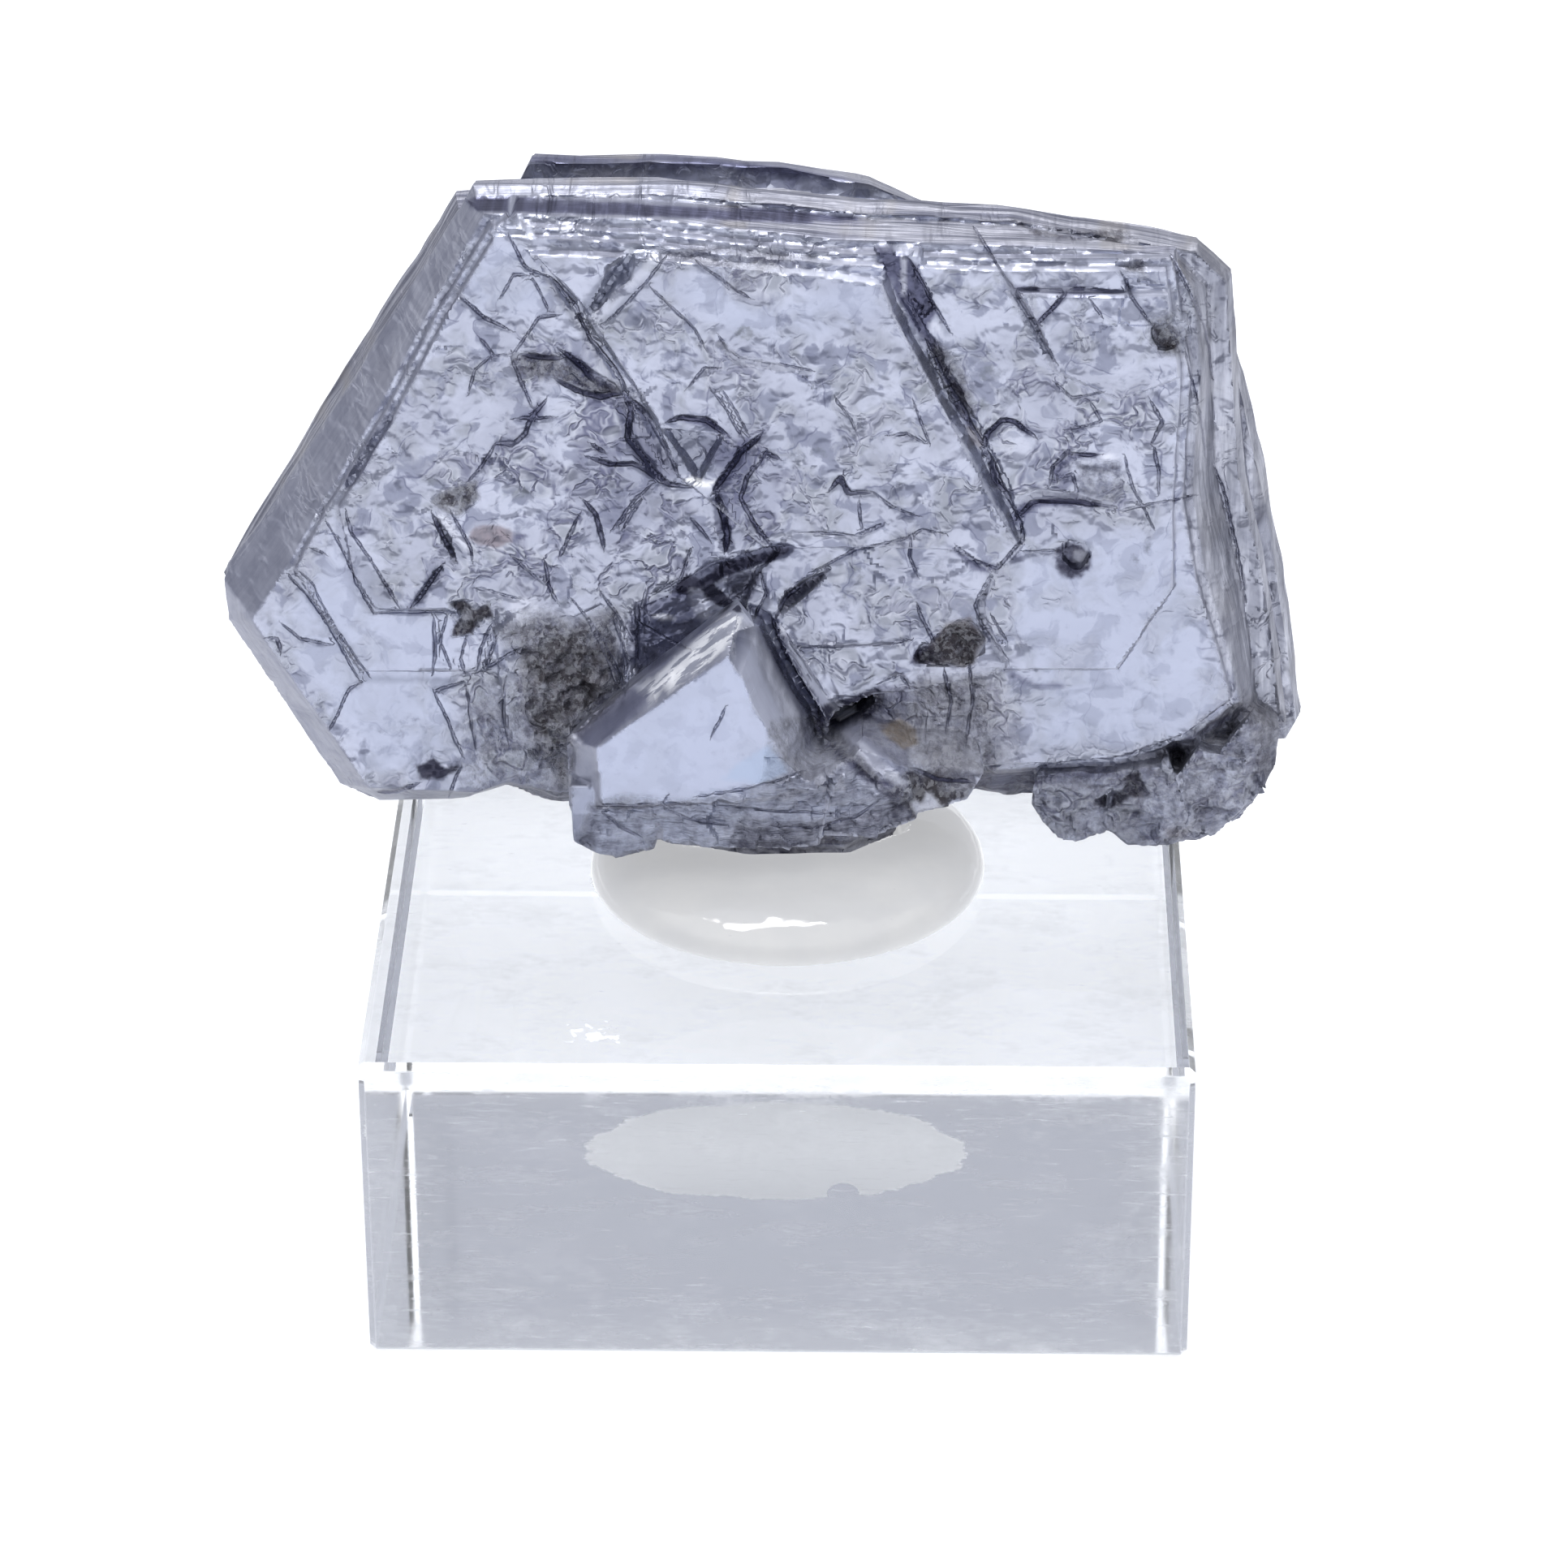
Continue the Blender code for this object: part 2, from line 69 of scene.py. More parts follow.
# Camera, fitted to the block's edges.
CAMERA_PLACE = np.array([4.768, -214.652, 136.012])
CAMERA_PITCH = math.radians(29.0606)
CAMERA_YAW = math.radians(-1.2725)
CAMERA_ROLL = math.radians(-0.2976)
SENSOR_WIDTH = 36.0
LENS = 140.594

# Base colours of the crystal: its broad faces, marks on them, sheet edges, rough ground.
LAVENDER = (0.53, 0.555, 0.67)
LAVENDER_DIM = (0.44, 0.46, 0.56)
LAVENDER_CALM = (0.49, 0.525, 0.66)
# Painted highlight along the folds' rims.
FOLD_RIM_HIGHLIGHT = (0.66, 0.68, 0.78)
OLIVE_GREY = (0.27, 0.285, 0.325)
BLUE_GREY = (0.19, 0.205, 0.295)
# Fold lines: painted shade in the creases; veins take the same blue.
CREASE_SHADE_AND_VEIN_BLUE = (0.11, 0.115, 0.20)
SPOT_OLIVE = (0.20, 0.215, 0.245)
# Painted shade along steps and folds.
BAND_SHADE = (0.11, 0.117, 0.18)
WALL_GREY = (0.20, 0.215, 0.285)
STREAK_TONES = ((0.25, 0.255, 0.30), (0.62, 0.63, 0.70))
SLATE = (0.115, 0.12, 0.20)
# Near black: painted shade in hollows, pits and crevices, and some dark spots of the crystal's own.
BLACK_SPOT_AND_SHADE = (0.03, 0.03, 0.055)
RUST = (0.17, 0.13, 0.10)
PINK_BROWN = (0.20, 0.145, 0.17)
TAN = (0.30, 0.25, 0.20)
SKY_BLUE = (0.42, 0.50, 0.66)
# Pale lavender is partly lighter flakes and partly painted highlight; the glint tones paint highlights.
PALE_LAVENDER = (0.80, 0.82, 0.92)
GLINT_TONES = ((0.22, 0.23, 0.29), (1.0, 1.0, 1.0))
# Crack colours: painted shade inside the cracks.
SHALLOW_CRACK_SHADE = (0.13, 0.135, 0.21)
DEEP_CRACK_SHADE = (0.05, 0.052, 0.10)
LAYER_TONES = ((0.14, 0.145, 0.19), (0.36, 0.365, 0.42))
LAYER_BRIGHT = (0.52, 0.53, 0.60)
LAYER_TAN = (0.30, 0.275, 0.24)
PLAIN_EDGE_TONES = ((0.25, 0.26, 0.325), (0.33, 0.34, 0.41))
# Lighter colour on the sides that stand out at the front: painted light.
FRONT_SIDE_LIGHTENED = (0.50, 0.52, 0.62)
FLECK = (0.43, 0.445, 0.51)
PIT = (0.06, 0.058, 0.075)
SOIL = (0.06, 0.052, 0.052)
LIGHT_GRIT = (0.40, 0.405, 0.43)
DARK_GRIT = (0.045, 0.038, 0.042)
METALLIC = 0.7

# Crystal mesh. Its painted front has n above FRONT_DEPTH and keeps more of its faces.
REMESH_SIZE = 0.12
MOST_TRIANGLES = 196000
FRONT_DEPTH = -3.4
FRONT_THINNING = 0.5
BACK_THINNING = 1.0
THINNING_FACTOR = 0.001
SHARP_ANGLE = math.radians(34.0)

# Limits between which something sets in: first by how squarely a face looks along n, and at the
# camera.
BASAL_FACING = (0.80, 0.97)
SEEN_FACING = (0.02, 0.2)
# Then by n, and by u for the last one.
PAINTED_N = (-7.4, -6.8)
LEFT_BEVEL_N = (-3.6, -2.9)
LIFTED_N = (-3.3, -3.1)
FILLED_FROM_N = (-2.4, -2.0)
FILLED_TO_N = (0.3, 0.6)
UNLAYERED_N = (-1.2, -0.7)
FRONT_SIDE_N = (-0.6, 0.2)
FRONT_CRYSTAL_N = (1.0, 1.6)
FRONT_SIDE_U = (-2.4, -1.2)
# Left bevel: beyond a line that starts at the top and slopes outwards on the way down.
LEFT_BEVEL_TOP = 28.0
LEFT_BEVEL_SLOPE = 0.35
LEFT_BEVEL_WIDTH = (2.0, 3.5)

# How far round a drawn line its field reaches, and the distance given where there's none.
LINE_REACH = 0.45
NO_LINE = 9.0
CRACK_SHRINK = 0.6
CRACK_SHARPNESS = 5.0
BAND_SHARPNESS = 12.0
FILL_FEATHER = 0.05

# Relief: cuts, then facets as (cell, slope), then heights.
GROOVE_MARGIN = 0.05
GROOVE_SLOPE = 1.2
TROUGH_SLOPE = 0.6
DEEPEST_CUT = 0.2
LARGE_FOIL = (2.6, 0.055)
SMALL_FOIL = (1.0, 0.075)
RIDGES = (0.9, 0.3)
FOIL_GRAIN = 0.02
RAGGED_HEIGHT = 0.16
PIT_DEPTH = 0.45
THICK_LAYER = 0.08
THIN_LAYER = 0.02
CHIP_DEPTH = 0.06
HASH_FACTORS = (2654435761, 2246822519)

# Putty: a drop with a superellipse's outline. A vertex is on its outer skin where its fullness is
# above PUTTY_OUTER, unless it lies below PUTTY_LOW of the height and within PUTTY_RIM of the radius.
PUTTY_REMESH = 0.2
PUTTY_CENTRE = (0.15, -1.1)
PUTTY_RADIUS = 7.9
PUTTY_ROUNDNESS = 2.6
PUTTY_OUTER = 0.94
PUTTY_LOW = 0.02
PUTTY_RIM = 0.98
PUTTY_TONES = ((0.24, 0.243, 0.25), (0.28, 0.28, 0.278))
PUTTY_SPECK = (0.2, 0.2, 0.22)
# The putty's glow is painted light: it stands in for the light that reaches the putty through the block.
PUTTY_PAINTED_GLOW = (0.97, 0.975, 0.985)
PUTTY_PAINTED_GLOW_STRENGTH = 0.44

# Block. Areas on it are ellipses: (centre, half widths) along x and y.
ACRYLIC_IOR = 1.49
CLEAR = (0.975, 0.985, 1.0)
RESIDUE = (0.90, 0.92, 0.94)
# The chamfers' glow is painted light.
PAINTED_CHAMFER_GLOW = (0.93, 0.95, 1.0)
PAINTED_CHAMFER_GLOW_STRENGTH = 0.05
UNDERSIDE_PATCH = ((-0.4, 8.6), (7.9, 6.2))
PATCH_NOTCH = ((2.4, 3.6), (0.7, 1.3))
CHIPPED_AREA = ((-7.1, -13.6), (1.5, 1.3))
PATCH_STRENGTH = 0.75
SMEAR_STRENGTH = 0.22
SCUFF_STRENGTH = 0.3
EDGE_HAZE = 0.14
CLOUDY_HAZE = 0.12
SCRATCH_STRENGTH = 0.26

# Studio: the floor in metres, and the dome's colours by height, from 0 at the horizon and below it
# to 1 at the zenith.
FLOOR_RADIUS = 3.0
FLOOR_DROP = 0.0001
FLOOR_COLOUR = (0.55, 0.56, 0.58)
FLOOR_GLOW = (0.97, 0.98, 1.0)
FLOOR_GLOW_STRENGTH = 0.64
DOME_GREY = (0.24, 0.25, 0.29)
DOME_STOPS = ((0.0, DOME_GREY), (0.58, DOME_GREY), (0.82, (0.95, 0.96, 0.98)), (1.0, (1.0, 1.0, 1.0)))
DOME_STRENGTH = 1.7

# Lamp that leaves the long highlight on the putty, in mm.
HIGHLIGHT_PLACE = (-0.3, -7.95, 14.8)
LAMP_DIRECTION = (-0.05, 0.24, 0.97)
LAMP_DISTANCE = 120.0
LAMP_SIZE = (56.0, 16.0)
LAMP_POWER = 0.05

# Enlarged views of the photograph in which marks were read: (left, top, enlargement), the first two
# in its pixels.
PHOTO_SIZE = 1932
VIEWS = {
    "top left": (220, 160, 1.2821),
    "top right": (900, 160, 1.2821),
    "bottom left": (220, 700, 1.2821),
    "bottom right": (900, 700, 1.2821),
    "upper left": (560, 260, 3.5636),
    "upper right": (1000, 280, 2.8),
    "lower left": (280, 560, 3.2667),
    "lower right": (680, 560, 2.8),
    "cavity": (600, 620, 4.0),
    "front and cavity": (600, 620, 2.0833),
    "slab": (540, 270, 3.0),
    "stain": (400, 540, 3.0),
    "middle": (820, 280, 3.0),
    "apex": (820, 560, 3.0),
    "cleft": (1100, 280, 3.0),
    "arc": (1100, 560, 3.0),
    "shoulder": (1300, 280, 3.0),
    "right band": (1300, 560, 3.0),
    "lower edge": (1060, 820, 3.0),
    "lumps": (1300, 820, 3.0),
    "steps": (280, 700, 3.0),
    "front crystal": (600, 840, 3.0),
}

# Thin cracks and step edges, by view: (half width in mm, points). A crack closes towards its ends.
CRACK_MARKS = {
    "upper left": (
        (0.07, ((240, 110), (300, 230), (330, 260), (420, 290))),
        (0.07, ((430, 300), (540, 420), (560, 490), (600, 570), (700, 680), (760, 790))),
        (0.1, ((740, 800), (850, 890), (880, 960), (950, 1090), (980, 1150))),
        (0.16, (
            (740, 790), (775, 880), (760, 1000), (820, 1070), (870, 1150), (930, 1195), (1050, 1215))),
        (0.06, ((650, 500), (780, 380), (860, 290), (930, 200))),
        (0.06, ((460, 460), (370, 470), (255, 630))),
        (0.05, ((330, 285), (260, 280), (200, 380))),
        (0.05, ((340, 290), (410, 430))),
        (0.09, ((20, 370), (130, 470), (250, 530))),
        (0.14, ((290, 630), (380, 640), (460, 650))),
        (0.14, ((460, 610), (560, 690), (610, 750))),
        (0.16, ((440, 740), (540, 790), (640, 815), (750, 800))),
        (0.06, ((250, 640), (280, 720), (340, 860))),
        (0.12, ((410, 820), (350, 890), (310, 980), (250, 1030), (180, 1020))),
        (0.06, ((260, 915), (440, 905))),
        (0.07, ((180, 1020), (120, 1120), (60, 1190))),
        (0.12, ((600, 1020), (660, 1060))),
        (0.13, ((580, 1080), (680, 1110), (780, 1110), (850, 1145), (900, 1190))),
        (0.16, ((930, 930), (1000, 910), (1110, 920), (1200, 985))),
        (0.14, ((1130, 1240), (1200, 1140), (1260, 1060), (1350, 980))),
        (0.1, ((1350, 1060), (1430, 1090))),
        (0.1, ((1350, 1090), (1280, 1170), (1255, 1260), (1310, 1360), (1400, 1480))),
        (0.18, ((1150, 1240), (1180, 1340), (1200, 1420), (1190, 1500))),
        (0.08, ((1040, 1350), (1120, 1450))),
        (0.12, ((560, 1265), (620, 1330), (655, 1480))),
        (0.06, ((690, 1400), (800, 1260), (870, 1200))),
        (0.06, ((740, 1390), (820, 1270))),
        (0.05, ((460, 1510), (550, 1330))),
        (0.1, ((1160, 545), (1200, 610), (1250, 645), (1400, 670))),
        (0.05, ((1400, 670), (1568, 700))),
        (0.06, ((1160, 690), (1100, 690), (1020, 780))),
        (0.05, ((860, 330), (960, 430), (1060, 520), (1100, 600))),
        (0.05, ((1060, 220), (1240, 350), (1300, 385))),
        (0.05, ((1130, 790), (1200, 880), (1270, 1000))),
        (0.05, ((1180, 790), (1240, 880), (1290, 980))),
        (0.05, ((160, 640), (90, 700), (60, 800))),
        (0.05, ((110, 560), (180, 640), (250, 630))),
    ),
    "upper right": (
        (0.05, ((560, 0), (640, 130))),
        (0.1, ((400, 390), (450, 500), (530, 640), (620, 800), (670, 910), (720, 1010))),
        (0.07, ((340, 110), (410, 250), (480, 360))),
        (0.08, ((720, 1010), (725, 1080), (640, 1180), (560, 1150), (500, 1100))),
        (0.07, ((620, 1210), (585, 1288))),
        (0.06, ((640, 130), (700, 220), (770, 330), (845, 470))),
        (0.11, ((700, 212), (800, 212), (930, 215), (1080, 222))),
        (0.11, ((775, 335), (830, 280), (880, 225))),
        (0.05, ((960, 250), (1000, 310))),
        (0.06, ((1070, 160), (1110, 250), (1170, 335))),
        (0.14, ((590, 790), (605, 710), (655, 665), (700, 672), (770, 725))),
        (0.14, ((600, 760), (630, 860), (690, 950))),
        (0.09, ((825, 890), (830, 830), (880, 780), (1000, 785))),
        (0.07, ((860, 870), (900, 850), (920, 920), (820, 900))),
        (0.15, ((705, 1000), (760, 950), (850, 938), (930, 950), (1050, 968))),
        (0.05, ((1080, 790), (1110, 900), (1180, 1035))),
        (0.07, ((1180, 750), (1195, 840), (1200, 920))),
        (0.08, ((1165, 590), (1210, 670), (1170, 750))),
        (0.05, ((80, 590), (130, 660), (150, 700))),
        (0.05, ((265, 720), (330, 712), (385, 745))),
        (0.05, ((350, 600), (405, 745))),
        (0.14, ((60, 910), (100, 860), (125, 915), (215, 915))),
        (0.05, ((215, 915), (280, 970), (370, 1000))),
        (0.05, ((150, 1060), (250, 1020))),
        (0.06, ((0, 1190), (150, 1110), (300, 1080), (380, 1045), (460, 1060))),
        (0.05, ((840, 540), (900, 590), (1000, 570))),
        (0.05, ((880, 700), (1000, 670), (960, 600))),
        (0.05, ((730, 1120), (840, 1115))),
        (0.05, ((1050, 985), (1150, 960), (1320, 925))),
        (0.06, ((1240, 100), (1310, 240), (1350, 330))),
        (0.05, ((1330, 250), (1370, 400), (1380, 520))),
        (0.05, ((1390, 820), (1430, 950), (1480, 1180), (1500, 1288))),
        (0.05, ((1290, 430), (1340, 640), (1360, 800))),
    ),
    "lower left": (
        (0.05, ((590, 638), (700, 632), (940, 635))),
        (0.07, ((590, 440), (640, 530), (690, 610))),
        (0.04, ((400, 270), (470, 400), (520, 520), (590, 640))),
        (0.05, ((250, 490), (340, 590), (430, 720), (530, 905))),
        (0.04, ((290, 470), (350, 530), (400, 640), (480, 760), (575, 890))),
        (0.06, ((545, 915), (490, 950), (410, 1110))),
        (0.06, ((830, 950), (890, 1080), (950, 1220))),
        (0.06, ((830, 950), (970, 910))),
        (0.1, ((770, 1320), (690, 1355), (610, 1360))),
        (0.07, ((940, 1265), (890, 1380))),
        (0.11, ((825, 235), (870, 330), (920, 430))),
        (0.06, ((900, 230), (980, 380), (985, 430))),
        (0.11, ((870, 440), (780, 570), (740, 610))),
        (0.07, ((480, 230), (500, 320), (590, 440))),
        (0.06, ((340, 380), (390, 400))),
        (0.06, ((220, 680), (290, 740), (420, 765))),
        (0.08, ((155, 740), (200, 740), (215, 800))),
        (0.07, ((1340, 410), (1410, 260))),
        (0.06, ((1000, 540), (1100, 560), (1170, 580))),
        (0.06, ((1150, 410), (1210, 470), (1270, 520))),
        (0.08, ((1280, 430), (1290, 520), (1330, 600))),
        (0.06, ((830, 660), (840, 760), (830, 880))),
        (0.06, ((880, 650), (860, 760), (900, 860))),
        (0.06, ((960, 740), (940, 820), (960, 880))),
        (0.07, ((1060, 690), (1020, 780), (1010, 860))),
        (0.06, ((1090, 720), (1060, 800), (1040, 870))),
        (0.05, ((960, 920), (975, 1030), (1000, 1180))),
        (0.07, ((1000, 880), (1090, 830), (1180, 780))),
        (0.05, ((1120, 900), (1110, 1040), (1130, 1160))),
    ),
    "lower right": (
        (0.06, ((840, 662), (1030, 662), (1170, 655), (1240, 640))),
        (0.12, ((760, 570), (800, 670), (860, 760), (920, 870))),
        (0.05, ((800, 610), (860, 700), (940, 820))),
        (0.1, ((770, 560), (810, 490), (870, 440), (960, 395))),
        (0.05, ((700, 560), (740, 480), (720, 410))),
        (0.07, ((1260, 520), (1290, 590), (1320, 650))),
        (0.05, ((840, 270), (930, 270), (1050, 280), (1150, 240))),
        (0.06, ((1060, 160), (1070, 260))),
        (0.06, ((1400, 320), (1460, 365), (1530, 390))),
        (0.06, ((1240, 290), (1230, 350), (1260, 420))),
        (0.08, ((1510, 420), (1460, 520), (1490, 600), (1568, 700))),
        (0.05, ((1520, 560), (1568, 640))),
        (0.06, ((210, 560), (240, 640), (265, 720), (262, 800))),
        (0.06, ((130, 560), (190, 660), (240, 750), (250, 820))),
        (0.06, ((170, 470), (230, 560), (280, 650))),
        (0.05, ((70, 500), (120, 560), (180, 680), (220, 780))),
        (0.07, ((300, 580), (400, 640), (470, 670))),
        (0.06, ((550, 975), (600, 875))),
        (0.06, ((160, 1212), (330, 1215), (500, 1208))),
        (0.05, ((500, 1180), (650, 1160), (760, 1130), (870, 1090))),
        (0.06, ((180, 1240), (240, 1290), (310, 1320))),
        (0.05, ((760, 1280), (900, 1290), (1050, 1250), (1130, 1190))),
        (0.05, ((560, 1210), (760, 1230), (1000, 1240))),
        (0.06, ((400, 1180), (380, 1220), (480, 1260), (600, 1280))),
        (0.13, ((1240, 1080), (1330, 1120), (1450, 1130))),
        (0.06, ((1440, 720), (1450, 850), (1430, 1000))),
        (0.07, ((1350, 740), (1380, 850), (1360, 960))),
        (0.05, ((1130, 790), (1200, 760), (1230, 800))),
        (0.06, ((350, 480), (440, 430), (480, 330))),
    ),
}

# Soft grey spots, by view: (centre across, centre down, half width, half height, strength).
SPOT_MARKS = {
    "slab": (
        (215, 340, 70, 25, 0.5), (640, 410, 35, 22, 0.5), (740, 425, 45, 28, 0.6),
        (805, 375, 45, 22, 0.45), (740, 490, 55, 25, 0.5), (865, 520, 50, 50, 0.6),
        (945, 560, 20, 60, 0.35), (345, 570, 60, 45, 0.6), (450, 425, 70, 30, 0.35),
        (440, 760, 80, 45, 0.35), (340, 890, 80, 25, 0.6), (640, 920, 70, 35, 0.6),
        (560, 760, 90, 40, 0.25), (90, 915, 60, 50, 0.45)),
    "stain": (
        (440, 160, 70, 32, 0.9), (735, 215, 60, 50, 0.8), (800, 165, 45, 35, 0.5),
        (790, 300, 30, 35, 0.4), (760, 65, 60, 18, 0.7), (280, 155, 40, 45, 0.35),
        (200, 265, 28, 45, 0.4), (290, 235, 55, 15, 0.35), (310, 380, 30, 20, 0.3),
        (560, 440, 50, 25, 0.3), (700, 420, 60, 25, 0.35), (620, 470, 50, 25, 0.35),
        (930, 520, 30, 50, 0.4), (900, 600, 50, 25, 0.45), (420, 720, 30, 60, 0.2)),
    "middle": (
        (400, 260, 38, 30, 0.5), (435, 345, 45, 48, 0.55), (400, 450, 28, 30, 0.45),
        (540, 450, 38, 38, 0.8), (290, 390, 38, 36, 0.65), (420, 530, 30, 22, 0.5),
        (512, 550, 33, 24, 0.6), (580, 640, 38, 34, 0.6), (870, 650, 48, 22, 0.6),
        (670, 545, 32, 14, 0.5), (565, 835, 45, 30, 0.5), (460, 860, 70, 40, 0.4),
        (915, 520, 50, 20, 0.45), (560, 260, 12, 80, 0.35), (500, 190, 25, 50, 0.3),
        (740, 205, 28, 25, 0.35), (900, 600, 40, 30, 0.35)),
    "apex": (
        (700, 430, 50, 60, 0.45), (660, 560, 30, 90, 0.35), (580, 60, 40, 25, 0.4),
        (400, 30, 40, 25, 0.4), (60, 400, 40, 50, 0.5), (80, 250, 60, 20, 0.35),
        (760, 320, 60, 25, 0.3), (300, 740, 60, 80, 0.15)),
    "cleft": (
        (350, 540, 90, 35, 0.55), (420, 625, 60, 55, 0.6), (330, 650, 60, 35, 0.5),
        (260, 505, 60, 30, 0.55), (110, 600, 45, 40, 0.5), (60, 515, 50, 18, 0.5),
        (235, 215, 35, 55, 0.4), (270, 145, 60, 14, 0.4), (700, 350, 20, 40, 0.25),
        (850, 570, 40, 25, 0.3), (790, 890, 80, 45, 0.55)),
    "arc": (
        (210, 60, 60, 50, 0.5), (180, 410, 50, 30, 0.35), (740, 70, 70, 50, 0.45),
        (840, 250, 50, 35, 0.35), (900, 380, 30, 50, 0.3), (260, 100, 40, 40, 0.4)),
    "shoulder": (
        (500, 420, 50, 50, 0.65), (560, 520, 50, 60, 0.5), (240, 420, 40, 50, 0.3),
        (210, 580, 35, 25, 0.35), (640, 500, 40, 50, 0.4), (290, 130, 50, 30, 0.6)),
    "right band": (
        (340, 360, 60, 70, 0.3), (590, 305, 25, 18, 0.6), (585, 430, 22, 20, 0.5),
        (240, 250, 50, 25, 0.35), (520, 30, 30, 20, 0.5)),
    "lower edge": (
        (470, 330, 60, 90, 0.45), (600, 120, 30, 30, 0.2), (330, 300, 40, 60, 0.25),
        (420, 200, 30, 60, 0.3)),
    "steps": ((660, 620, 130, 110, 0.2),),
}

# Broader bands of painted shade along steps and folds: (half width, darkness, points).
BANDS = (
    (0.22, 0.60, ((-13.3, 13.8), (-14.4, 12.2))),
    (0.25, 0.50, ((-15.1, 20.2), (-17.0, 17.1))),
    (0.30, 0.55, ((-6.2, 20.9), (-5.9, 19.4), (-5.4, 18.4), (-4.7, 17.5))),
    (0.35, 0.75, ((-2.5, 17.0), (-2.3, 15.8), (-2.1, 14.4))),
    (0.28, 0.80, ((-2.6, 16.9), (-1.6, 18.6), (-0.9, 19.2))),
    (0.25, 0.70, ((-8.5, 22.7), (-7.3, 21.8), (-6.2, 21.1))),
    (0.35, 0.90, ((-4.4, 12.6), (-2.6, 13.7), (-0.7, 14.35), (0.5, 14.65))),
    (0.22, 0.85, ((-1.4, 12.3), (-0.4, 11.5), (0.3, 10.0), (1.4, 7.7))),
    (0.30, 0.75, ((1.3, 7.3), (2.4, 6.2), (3.4, 5.0), (4.4, 3.9))),
    (0.25, 0.45, ((5.6, 5.0), (8.0, 4.7), (12.3, 4.8))),
)

# No outline is sharper than the mesh can hold.
LEAST_FEATHER = 0.09

# What an area can change, and the part of it that only the relief reads.
# dark and slate partly carry painted shade in hollows and clefts, pale partly carries painted
# highlights, and the glint channel carries painted glints.
CHANNELS = (
    "dark", "warm", "rough", "pale", "sink", "blue", "strata", "crumple", "grey", "slate", "deep",
    "brown", "tan", "painted_glint", "streak",
)
RELIEF_CHANNELS = ("sink", "deep")

